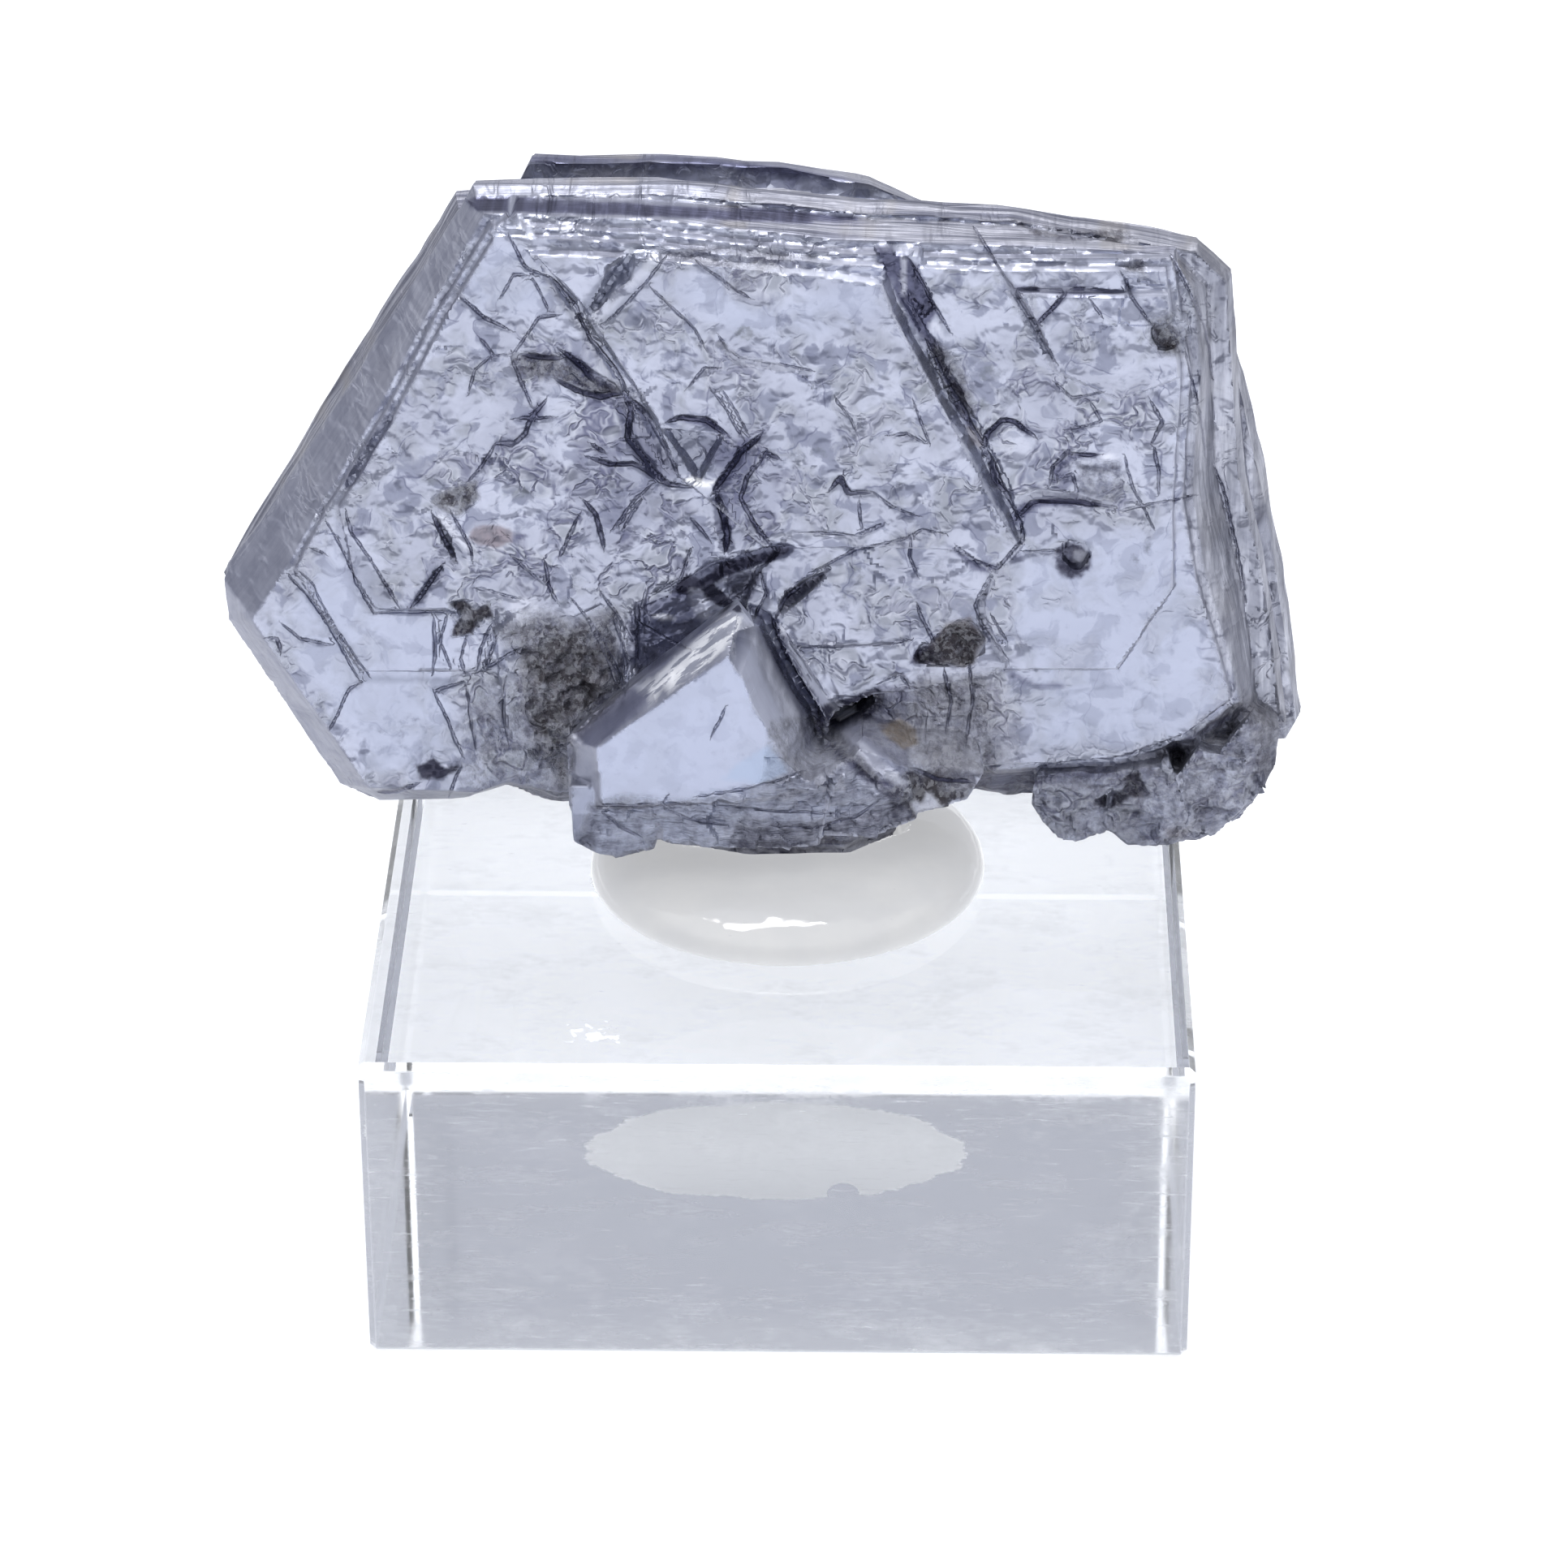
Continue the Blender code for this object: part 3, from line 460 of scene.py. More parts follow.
# Areas in readings: (feather, {channel: amount}, outline in mm).
PATCHES = (
    # Crumpled ground round the long crack, the ring flake and the right end of the front crystal.
    (1.2, {"crumple": 1.0}, (
        (-14.0, 14.0), (-12.2, 18.6), (-9.6, 20.6), (-10.6, 22.9), (-7.6, 22.8), (-5.6, 20.8),
        (-4.4, 18.6), (-1.6, 20.2), (-0.4, 19.2), (0.2, 16.8), (-0.6, 14.9), (-4.0, 13.4),
        (-6.2, 12.6), (-8.6, 12.4), (-12.4, 12.8))),
    (0.8, {"crumple": 0.8}, (
        (7.6, 16.4), (7.4, 19.6), (8.6, 21.8), (12.6, 22.2), (14.8, 20.4), (14.4, 17.4), (12.0, 16.2))),
    (0.8, {"crumple": 0.7}, (
        (-12.2, 23.4), (-11.6, 25.2), (-9.6, 24.4), (-7.4, 23.4), (-9.8, 21.6))),
    (0.8, {"crumple": 0.6}, (
        (-2.6, 24.0), (1.6, 22.8), (1.4, 21.6), (-3.6, 20.8))),
    # Granular brown hollow left of the front crystal, and the rough ground round it.
    (0.7, {"rough": 0.9, "dark": 0.2, "warm": 0.3, "deep": 0.6}, (
        (-10.2, 10.1), (-11.0, 11.1), (-9.6, 11.8), (-8.2, 11.3), (-6.6, 11.8), (-6.6, 8.4),
        (-8.3, 6.8), (-8.7, 4.4), (-9.9, 5.8), (-10.3, 7.9))),
    (0.9, {"dark": 0.22, "warm": 0.5, "deep": 0.6}, (
        (-10.0, 9.8), (-8.9, 9.7), (-7.7, 10.1), (-7.0, 8.7), (-8.2, 7.1), (-9.6, 7.0))),
    (0.8, {"rough": 0.4, "dark": 0.05, "crumple": 1.0}, (
        (-12.4, 9.0), (-10.4, 9.0), (-10.0, 6.0), (-8.6, 4.4), (-8.7, 3.2), (-9.6, 3.2),
        (-10.5, 3.8), (-12.3, 3.6), (-12.8, 4.9), (-12.4, 6.0))),
    # Round pit, porous pit and small pits, darkened with painted shade.
    (0.35, {"dark": 0.6, "rough": 1.0}, (
        (14.2, 24.1), (14.8, 24.3), (15.5, 23.5), (15.4, 22.9), (14.8, 22.8), (14.3, 23.3))),
    (0.2, {"dark": 0.6, "rough": 0.6}, ((12.9, 26.6), (14.0, 26.7), (13.9, 26.1), (13.2, 26.2))),
    (0.15, {"dark": 1.0}, (
        (-14.6, 5.2), (-13.9, 5.5), (-13.4, 5.0), (-12.9, 5.3), (-12.8, 5.0), (-13.7, 4.5),
        (-14.5, 4.6))),
    # Right cleft's open top and its shadowed side.
    (0.3, {"dark": 0.5, "rough": 0.5}, (
        (5.6, 23.3), (6.1, 23.2), (7.2, 21.8), (7.4, 20.3), (7.0, 20.2), (6.2, 21.8))),
    # Nested hollow beside the ring, darkened with painted shade.
    (0.2, {"dark": 0.35, "rough": 0.3}, (
        (11.4, 18.2), (13.1, 18.4), (13.4, 17.2), (13.0, 16.6), (11.6, 16.8))),
    # Crumbled ground under the top edge.
    (0.4, {"dark": 0.05, "rough": 0.4, "crumple": 1.0}, (
        (-4.4, 26.9), (-2.9, 27.2), (-1.2, 27.1), (1.2, 26.7), (1.2, 26.5), (-0.8, 25.9),
        (-1.7, 25.2), (-2.9, 26.4))),
    (0.3, {"dark": 0.5, "rough": 0.7}, (
        (-10.4, 22.6), (-9.7, 22.8), (-8.7, 22.6), (-7.2, 21.7), (-6.1, 21.2), (-7.0, 20.9),
        (-8.8, 21.6), (-10.1, 21.8))),
    # Hollows along the front crystal's right edge, darkened with painted shade.
    (0.15, {"dark": 0.75, "sink": 0.2}, (
        (-0.3, 11.7), (0.1, 12.6), (0.7, 13.2), (1.8, 13.7), (1.2, 12.9), (0.5, 12.3))),
    (0.15, {"dark": 0.95}, (
        (1.0, 7.7), (1.9, 7.8), (3.0, 8.3), (3.8, 8.7), (4.0, 7.9), (3.3, 7.3), (2.6, 7.0),
        (1.9, 7.1))),
    (0.2, {"dark": 0.35, "rough": 0.4}, (
        (1.0, 7.6), (1.8, 7.1), (2.8, 6.2), (3.6, 5.1), (4.3, 3.9), (4.0, 4.1), (2.9, 5.2),
        (1.5, 5.9))),
    # Brown stained spots.
    (0.25, {"warm": 0.6, "dark": 0.4, "rough": 0.6, "sink": 0.2}, (
        (6.1, 10.7), (6.9, 11.4), (7.7, 11.2), (7.9, 10.8), (7.4, 10.0), (6.2, 9.8))),
    (0.15, {"dark": 1.0, "sink": 0.3}, (
        (5.2, 10.0), (5.5, 10.5), (6.2, 10.4), (6.1, 9.8), (5.3, 9.7))),
    # Grey right band, streaked along its length.
    (0.2, {"grey": 0.25, "streak": 1.0}, (
        (15.1, 26.9), (16.0, 24.0), (15.4, 22.8), (16.0, 21.5), (15.6, 16.6), (16.3, 13.2), (17.3, 9.9),
        (18.6, 7.2), (19.6, 6.0), (20.9, 7.0), (20.3, 12.4), (19.5, 17.0), (18.6, 20.8), (17.6, 25.8),
        (16.3, 27.8))),
    # Front crystal's layered broken foot.
    (0.3, {"rough": 0.9, "dark": 0.25, "warm": 0.1, "strata": 1.0}, (
        (-7.6, 3.3), (-3.4, 3.6), (-0.4, 4.5), (1.0, 5.1), (2.9, 5.4), (4.6, 3.8), (6.3, 2.0),
        (2.3, 0.4), (0.0, 0.1), (-3.2, 0.6), (-4.4, 0.8), (-8.6, 0.9))),
    # Broken lumps under the face at the right, and the rough wrinkled ground left of them.
    (0.4, {"rough": 0.7, "dark": 0.3, "strata": 0.45, "crumple": 1.0}, (
        (9.5, 5.1), (13.3, 5.4), (14.9, 5.7), (15.9, 6.5), (17.1, 7.4), (18.3, 8.4), (20.0, 7.5),
        (19.8, 4.0), (17.5, 1.0), (10.0, 0.5), (8.0, 3.5))),
    (0.6, {"rough": 0.25, "streak": 0.5, "crumple": 0.9, "warm": 0.1}, (
        (5.3, 9.3), (8.6, 9.4), (9.2, 5.2), (5.6, 4.6))),
)

# Finer areas, read in a view: (view, feather in mm, {channel: amount}, outline in that view).
PATCH_MARKS = (
    # Cavity above the front crystal: smooth slate facets under a black arc, both painted shade, with
    # pale strips and a painted glint.
    ("cavity", 0.1, {"slate": 0.75}, (
        (750, 500), (900, 450), (1000, 400), (1060, 520), (1090, 640), (960, 690), (880, 790),
        (740, 840), (700, 780), (690, 580))),
    ("cavity", 0.05, {"dark": 0.45}, ((900, 590), (1010, 560), (1050, 630), (980, 665), (900, 600))),
    ("cavity", 0.05, {"dark": 0.5}, ((755, 690), (885, 745), (860, 775), (770, 760))),
    ("cavity", 0.05, {"grey": 0.55}, ((745, 600), (860, 590), (960, 690), (890, 745), (760, 680))),
    ("cavity", 0.06, {"dark": 0.95}, (
        (900, 440), (980, 350), (1060, 380), (1150, 300), (1250, 270), (1380, 235), (1500, 215),
        (1480, 255), (1400, 290), (1290, 320), (1180, 360), (1120, 400), (1200, 470), (1300, 520),
        (1240, 540), (1150, 510), (1080, 480), (1050, 420), (990, 450))),
    ("cavity", 0.08, {"dark": 0.55, "slate": 0.5}, (
        (1190, 350), (1310, 330), (1370, 345), (1300, 480), (1210, 460), (1170, 400))),
    ("cavity", 0.06, {"pale": 0.45}, ((1000, 420), (1060, 430), (1100, 560), (1060, 600), (1010, 520))),
    ("cavity", 0.05, {"pale": 0.5}, (
        (640, 545), (665, 540), (715, 700), (745, 900), (700, 920), (680, 740))),
    ("cavity", 0.05, {"dark": 0.6}, ((690, 580), (745, 600), (750, 880), (725, 880), (715, 700))),
    ("cavity", 0.06, {"dark": 0.55}, (
        (560, 560), (620, 640), (680, 760), (690, 900), (640, 950), (610, 800), (580, 680))),
    ("cavity", 0.05, {"pale": 1.0, "painted_glint": 1.0}, ((825, 555), (860, 548), (930, 570), (860, 572))),
    # Walls of the growth steps at the left.
    ("stain", 0.05, {"grey": 0.5}, (
        (45, 290), (75, 350), (160, 450), (235, 580), (265, 640), (165, 645), (130, 590), (75, 440),
        (35, 350))),
    ("steps", 0.05, {"grey": 0.4}, (
        (220, 0), (330, 110), (400, 200), (470, 290), (530, 400), (490, 430), (465, 350), (370, 230),
        (250, 70))),
    ("steps", 0.04, {"grey": 0.5}, ((500, 400), (850, 402), (850, 422), (500, 424))),
    # Flake, glint and broken spot left of the brown inclusion.
    ("stain", 0.05, {"grey": 0.65}, (
        (405, 285), (450, 300), (490, 360), (530, 440), (500, 455), (455, 430), (420, 360))),
    ("stain", 0.15, {"rough": 0.9, "warm": 0.2, "grey": 0.3}, (
        (400, 235), (430, 205), (560, 160), (565, 220), (500, 285), (440, 265))),
    ("stain", 0.05, {"pale": 0.8}, ((412, 280), (440, 275), (540, 418), (522, 425), (455, 345))),
    ("stain", 0.05, {"pale": 1.0}, ((440, 245), (475, 256), (505, 277), (468, 280))),
    ("stain", 0.05, {"slate": 0.9}, ((95, 340), (175, 335), (140, 362), (105, 372))),
    # Brown inclusion with a light rim and a dark tip.
    ("stain", 0.06, {"pale": 0.25}, (
        (525, 345), (560, 310), (660, 312), (710, 345), (690, 400), (640, 422), (560, 405), (520, 375))),
    ("stain", 0.05, {"brown": 1.0, "dark": 0.4}, (
        (540, 345), (570, 326), (650, 326), (695, 347), (690, 382), (640, 405), (565, 393), (538, 370))),
    ("stain", 0.05, {"slate": 1.0}, ((690, 345), (755, 357), (705, 388), (682, 385))),
    # Black broken spot and smooth white flake below it.
    ("stain", 0.08, {"dark": 1.0, "rough": 0.6, "sink": 0.15}, (
        (460, 610), (520, 598), (555, 640), (600, 612), (622, 660), (570, 672), (540, 722), (470, 730),
        (480, 690), (512, 650))),
    ("stain", 0.08, {"pale": 0.55}, ((695, 592), (785, 590), (792, 660), (730, 692), (672, 640))),
    ("stain", 0.06, {"pale": 0.4}, ((500, 640), (540, 640), (545, 670), (510, 675))),
    # Slanted band with a bright strip beside it.
    ("slab", 0.05, {"grey": 0.8}, (
        (520, 325), (600, 220), (700, 130), (760, 85), (820, 92), (745, 180), (650, 260), (560, 360))),
    ("slab", 0.05, {"pale": 0.3}, (
        (560, 370), (640, 290), (760, 170), (800, 100), (835, 110), (780, 200), (700, 270), (590, 385))),
    ("slab", 0.05, {"grey": 0.55}, (
        (600, 385), (665, 320), (765, 215), (755, 240), (700, 310), (610, 395))),
    # Long narrow facet along the left crack, and the smear of folds crossing it.
    ("slab", 0.06, {"grey": 0.4}, (
        (400, 210), (430, 225), (520, 330), (560, 420), (650, 500), (700, 600), (640, 600), (540, 450),
        (430, 290))),
    ("slab", 0.08, {"slate": 0.6}, ((300, 505), (390, 498), (445, 515), (400, 532), (330, 520))),
    ("slab", 0.12, {"slate": 0.6}, (
        (450, 480), (520, 500), (565, 580), (690, 635), (700, 662), (600, 662), (500, 605), (430, 592),
        (470, 570), (520, 580), (490, 530))),
    ("slab", 0.08, {"slate": 0.75}, (
        (300, 738), (345, 705), (370, 668), (400, 682), (392, 728), (440, 738), (350, 752))),
    ("slab", 0.1, {"slate": 0.6}, ((200, 832), (240, 805), (310, 815), (250, 850), (205, 862))),
    ("slab", 0.12, {"slate": 0.5}, (
        (640, 670), (700, 640), (760, 700), (800, 790), (900, 960), (820, 960), (720, 800), (690, 760),
        (680, 860), (640, 900), (560, 890), (590, 860), (650, 850), (670, 760))),
    # Three-cornered dip under a dark arc, with painted glints below it.
    ("middle", 0.06, {"grey": 0.6}, (
        (0, 760), (60, 740), (130, 760), (200, 800), (280, 840), (230, 900), (120, 930), (40, 900),
        (0, 860))),
    ("middle", 0.05, {"slate": 0.6}, ((155, 805), (215, 810), (265, 830), (220, 890), (150, 870))),
    ("middle", 0.05, {"slate": 0.95}, (
        (15, 718), (60, 700), (160, 712), (215, 745), (245, 775), (225, 772), (170, 745), (60, 722))),
    ("middle", 0.04, {"painted_glint": 1.0}, (
        (70, 930), (120, 922), (150, 942), (185, 935), (160, 962), (90, 958))),
    ("middle", 0.1, {"slate": 0.65}, (
        (250, 790), (300, 780), (380, 830), (420, 860), (340, 850), (280, 960), (200, 960), (240, 880))),
    ("middle", 0.05, {"pale": 0.4}, ((305, 795), (350, 800), (320, 828))),
    # Cleft at the right: an open slate wedge of painted shade that narrows downwards beside a grey
    # ribbon.
    ("cleft", 0.05, {"grey": 0.5}, (
        (20, 290), (60, 340), (150, 490), (230, 640), (300, 760), (390, 960), (350, 960), (250, 770),
        (180, 640), (100, 480), (30, 340))),
    ("arc", 0.05, {"grey": 0.5}, (
        (300, 0), (350, 60), (400, 150), (455, 260), (445, 300), (380, 200), (330, 110), (280, 20))),
    ("cleft", 0.05, {"slate": 1.0, "dark": 0.4}, (
        (-75, 72), (-10, 80), (20, 95), (65, 115), (95, 145), (125, 230), (165, 310), (140, 350),
        (130, 385), (180, 440), (200, 520), (270, 620), (255, 640), (200, 560), (150, 480), (100, 400),
        (20, 270), (-30, 160))),
    ("cleft", 0.03, {"pale": 0.9}, ((36, 110), (47, 115), (45, 245), (35, 245))),
    ("cleft", 0.05, {"pale": 0.4}, ((135, 355), (170, 345), (185, 395), (150, 385))),
    ("cleft", 0.06, {"grey": 0.6}, ((165, 320), (215, 390), (200, 402), (160, 345))),
    ("cleft", 0.06, {"slate": 0.9}, ((200, 560), (240, 640), (300, 745), (280, 740), (225, 660))),
    ("cleft", 0.1, {"warm": 0.5, "grey": 0.3}, (
        (275, 735), (320, 740), (340, 800), (320, 820), (280, 790))),
    # Second crack, its cross line and the small triangle under it.
    ("cleft", 0.05, {"grey": 0.75}, (
        (385, 150), (420, 160), (450, 220), (530, 350), (605, 490), (590, 500), (500, 370), (420, 220))),
    ("cleft", 0.05, {"slate": 0.8}, (
        (445, 215), (600, 222), (680, 212), (745, 230), (870, 232), (860, 243), (760, 245), (700, 268),
        (640, 255), (560, 240), (450, 240))),
    ("cleft", 0.05, {"slate": 0.7}, (
        (515, 358), (545, 320), (640, 242), (652, 255), (550, 352), (530, 370))),
    ("cleft", 0.06, {"grey": 0.6}, (
        (820, 150), (850, 150), (900, 240), (960, 340), (945, 350), (870, 240))),
    # Ring of folds round a small flake, and the nested hollow beside it.
    ("cleft", 0.06, {"slate": 0.75}, (
        (335, 785), (360, 740), (400, 710), (440, 703), (455, 725), (420, 726), (380, 755), (350, 802))),
    ("cleft", 0.06, {"slate": 0.9}, ((460, 713), (490, 735), (518, 762), (500, 772), (470, 752))),
    ("cleft", 0.1, {"pale": 0.25}, (
        (380, 780), (430, 740), (500, 790), (520, 850), (480, 870), (400, 830))),
    ("cleft", 0.06, {"slate": 0.85}, (
        (588, 930), (600, 880), (640, 850), (700, 828), (760, 833), (755, 850), (700, 852), (650, 872),
        (620, 912), (600, 950))),
    ("cleft", 0.04, {"pale": 1.0}, ((755, 848), (800, 836), (835, 850), (790, 862))),
    ("arc", 0.08, {"slate": 0.75}, (
        (605, 75), (640, 58), (662, 90), (702, 95), (655, 112), (640, 140), (600, 150), (560, 130),
        (620, 108))),
    ("arc", 0.05, {"slate": 1.0, "dark": 0.3}, (
        (440, 210), (480, 178), (550, 165), (640, 160), (720, 172), (815, 193), (720, 193), (600, 189),
        (530, 197), (500, 217), (440, 264))),
    # End of the cleft and the round pit right of it, darkened with painted shade.
    ("arc", 0.05, {"slate": 0.9}, (
        (200, 338), (240, 350), (300, 383), (395, 413), (350, 441), (290, 427), (268, 397))),
    ("arc", 0.06, {"slate": 0.6}, ((425, 380), (470, 363), (484, 400), (440, 407))),
    ("arc", 0.05, {"dark": 0.75, "slate": 0.6}, (
        (600, 345), (640, 325), (700, 340), (735, 372), (735, 420), (700, 450), (650, 458), (612, 430),
        (598, 390))),
    ("arc", 0.06, {"pale": 0.3}, ((668, 352), (720, 362), (725, 408), (690, 418), (668, 382))),
    ("arc", 0.05, {"grey": 0.45}, (
        (350, 470), (310, 540), (295, 640), (330, 690), (420, 800), (440, 800), (360, 690), (320, 630),
        (330, 560), (365, 480))),
    ("arc", 0.05, {"slate": 0.7}, (
        (405, 793), (450, 800), (520, 845), (630, 850), (635, 868), (530, 868), (480, 850))),
    # Olive-brown stain with a black end.
    ("arc", 0.12, {"warm": 0.55, "dark": 0.15, "rough": 0.3}, (
        (150, 690), (200, 625), (260, 610), (290, 600), (300, 650), (330, 700), (270, 710), (300, 770),
        (260, 790), (200, 770), (150, 740))),
    ("arc", 0.06, {"slate": 1.0, "dark": 0.4}, (
        (62, 775), (85, 720), (140, 703), (190, 720), (150, 760), (130, 776))),
    # Tan spot, gem-like broken corner with black facets of painted shade and a bright strip painted as a
    # highlight, and the grey lower edge.
    ("lower edge", 0.1, {"tan": 0.9}, (
        (75, 245), (100, 215), (150, 195), (205, 235), (210, 290), (160, 310), (120, 280))),
    ("lower edge", 0.1, {"slate": 0.45}, (
        (215, 400), (400, 395), (560, 400), (690, 365), (960, 380), (960, 412), (700, 425), (640, 450),
        (540, 470), (430, 440), (300, 445))),
    ("lumps", 0.1, {"slate": 0.45}, (
        (0, 380), (120, 382), (280, 388), (330, 370), (330, 400), (240, 410), (100, 415), (0, 412))),
    ("lower edge", 0.08, {"dark": 0.95}, (
        (165, 380), (205, 395), (250, 450), (300, 470), (290, 500), (215, 500), (180, 440))),
    ("lower edge", 0.05, {"dark": 1.0}, (
        (215, 520), (245, 510), (300, 545), (300, 580), (265, 585), (240, 560), (225, 580))),
    ("lower edge", 0.04, {"pale": 1.0}, (
        (185, 505), (205, 500), (225, 515), (245, 470), (262, 480), (300, 525), (255, 535), (238, 640),
        (228, 640), (225, 560), (200, 540))),
    ("lower edge", 0.12, {"dark": 0.45, "rough": 0.5, "crumple": 1.0}, (
        (90, 390), (200, 400), (340, 420), (350, 640), (200, 650), (110, 560))),
    # Crevices among the broken lumps at the lower right, blackened with painted shade.
    ("lumps", 0.08, {"dark": 0.95, "sink": 0.2}, (
        (375, 335), (430, 295), (450, 285), (482, 330), (450, 350), (420, 335))),
    ("lumps", 0.1, {"dark": 0.9, "sink": 0.2}, (
        (265, 400), (310, 398), (325, 465), (350, 480), (290, 485), (255, 450))),
    ("lumps", 0.1, {"dark": 0.85, "sink": 0.15}, (
        (150, 505), (230, 470), (280, 440), (290, 470), (230, 512), (185, 525))),
    ("lumps", 0.08, {"slate": 0.8}, ((535, 478), (572, 516), (528, 516))),
    ("lumps", 0.08, {"slate": 0.8}, ((315, 630), (370, 622), (395, 650), (340, 648))),
    ("lumps", 0.06, {"slate": 0.7}, (
        (430, 300), (520, 250), (610, 195), (655, 178), (660, 192), (600, 225), (520, 275), (460, 300))),
    ("lumps", 0.06, {"slate": 0.6}, (
        (600, 340), (650, 270), (700, 230), (760, 225), (765, 238), (705, 245), (660, 290), (615, 350))),
    ("lower edge", 0.1, {"dark": 0.8, "sink": 0.15}, (
        (870, 500), (930, 470), (960, 500), (930, 520), (880, 520))),
    ("lumps", 0.2, {"warm": 0.4}, ((400, 600), (500, 598), (490, 640), (410, 642))),
    # Front crystal: painted glints on its upper facet, and at its right end a crevice of painted shade
    # and a bright splinter painted as a highlight.
    ("front and cavity", 0.08, {"painted_glint": 0.9, "pale": 0.3}, (
        (395, 475), (500, 385), (590, 305), (625, 282), (655, 292), (640, 340), (560, 420), (480, 470),
        (410, 490))),
    ("front and cavity", 0.08, {"slate": 0.55}, (
        (830, 535), (890, 515), (1000, 468), (1080, 470), (1080, 700), (985, 725), (900, 655),
        (850, 620))),
    ("front and cavity", 0.06, {"pale": 0.35, "grey": 0.2}, (
        (862, 575), (930, 585), (990, 640), (1060, 700), (1000, 712), (925, 640), (870, 610))),
    ("front and cavity", 0.05, {"painted_glint": 1.0, "pale": 0.5}, (
        (885, 545), (905, 525), (935, 530), (955, 545), (925, 565))),
    ("front and cavity", 0.06, {"slate": 0.55}, (
        (700, 290), (760, 400), (830, 520), (840, 640), (818, 640), (800, 540), (740, 420), (690, 320))),
    # Front crystal: dark striated lower facet, grey left facet, bluish spot.
    ("front crystal", 0.05, {"slate": 0.55}, (
        (300, 200), (340, 150), (450, 75), (530, 10), (560, 30), (640, 50), (560, 120), (470, 190),
        (400, 240), (345, 228))),
    ("front crystal", 0.05, {"grey": 0.45}, (
        (262, 205), (345, 240), (400, 262), (396, 480), (300, 480), (285, 430), (262, 420))),
    ("front crystal", 0.05, {"grey": 0.8}, ((265, 480), (396, 490), (396, 660), (330, 650), (262, 610))),
    ("front crystal", 0.04, {"pale": 0.7}, ((300, 190), (318, 186), (355, 222), (345, 230))),
    ("front crystal", 0.04, {"blue": 1.0}, (
        (879, 363), (921, 306), (1038, 234), (1110, 333), (1008, 378))),
    # Dark layers in the top edge.
    ("top left", 0.09, {"slate": 1.0, "dark": 0.55}, (
        (452, 112), (475, 103), (600, 110), (800, 121), (1000, 131), (1000, 149), (800, 139), (600, 131),
        (470, 128))),
    ("top left", 0.09, {"slate": 0.9, "dark": 0.3}, (
        (545, 38), (640, 43), (740, 50), (765, 36), (820, 44), (1000, 60), (1000, 73), (800, 64),
        (700, 62), (560, 57))),
    ("top right", 0.09, {"slate": 0.9, "dark": 0.3}, (
        (0, 124), (110, 128), (200, 140), (200, 150), (100, 142), (0, 140))),
    ("top right", 0.09, {"slate": 0.7}, ((0, 55), (90, 62), (200, 78), (200, 86), (90, 74), (0, 68))),
    ("top right", 0.1, {"dark": 0.45, "rough": 0.4}, (
        (440, 140), (480, 150), (560, 160), (620, 158), (640, 172), (560, 176), (480, 168))),
    # The slanted narrow facet between two cracks.
    ("top left", 0.1, {"grey": 0.35, "streak": 0.7}, (
        (570, 212), (605, 240), (700, 390), (790, 545), (755, 540), (700, 440), (640, 330), (585, 250))),
    # Smoky folds left and right of the three-cornered dip.
    ("top left", 0.25, {"slate": 0.35, "crumple": 1.0}, (
        (640, 490), (740, 480), (780, 560), (760, 620), (690, 660), (640, 640), (610, 560))),
    ("top left", 0.25, {"slate": 0.35, "crumple": 1.0}, (
        (850, 480), (930, 460), (960, 540), (940, 640), (880, 660), (850, 600))),
    # Crumpled ground round the broken corner right of the front crystal, with a black cavity of painted
    # shade, painted glints and pale strips.
    ("bottom right", 0.15, {"crumple": 1.0, "streak": 0.5, "dark": 0.12, "rough": 0.3}, (
        (210, 200), (300, 180), (400, 170), (420, 330), (380, 400), (300, 360), (250, 300), (200, 260))),
    ("bottom right", 0.1, {"dark": 0.9}, (
        (132, 218), (200, 200), (238, 193), (230, 216), (200, 245), (165, 248), (145, 240))),
    ("bottom right", 0.1, {"slate": 0.9}, (
        (135, 225), (165, 235), (180, 270), (230, 300), (265, 340), (290, 352), (255, 357), (200, 322),
        (160, 288), (135, 250))),
    ("bottom right", 0.09, {"painted_glint": 0.9, "pale": 0.4}, (
        (165, 226), (192, 216), (200, 234), (176, 244))),
    ("bottom right", 0.09, {"pale": 0.5}, (
        (200, 268), (240, 300), (280, 340), (266, 344), (226, 318), (196, 284))),
    ("bottom right", 0.09, {"pale": 0.4}, (
        (70, 90), (86, 88), (150, 190), (190, 225), (180, 236), (128, 190))),
    # Broken dark ground along the foot's lower edge.
    ("bottom right", 0.35, {"dark": 0.35, "rough": 0.7, "crumple": 1.0, "warm": 0.25}, (
        (0, 400), (90, 405), (200, 390), (270, 345), (330, 325), (400, 350), (380, 400), (300, 435),
        (200, 440), (80, 455), (0, 450))),
    ("bottom left", 0.35, {"rough": 0.4, "crumple": 1.0, "dark": 0.12}, (
        (650, 375), (700, 360), (780, 368), (900, 365), (1000, 355), (1000, 455), (900, 450), (800, 440),
        (740, 462), (680, 468), (640, 440))),
    ("bottom right", 0.15, {"rough": 0.35, "crumple": 1.0, "dark": 0.2, "streak": 0.3}, (
        (60, 242), (140, 230), (200, 290), (250, 352), (200, 380), (120, 370), (50, 340))),
    # Striped right facet of the front crystal.
    ("bottom left", 0.12, {"streak": 0.8, "grey": 0.15}, (
        (880, 82), (905, 130), (960, 250), (990, 240), (945, 130), (910, 88))),
    # Olive ground among the cracks left of the round pit.
    ("bottom right", 0.15, {"warm": 0.5, "dark": 0.3, "rough": 0.5, "crumple": 1.0}, (
        (290, 146), (330, 104), (370, 84), (402, 112), (384, 152), (330, 152))),
)

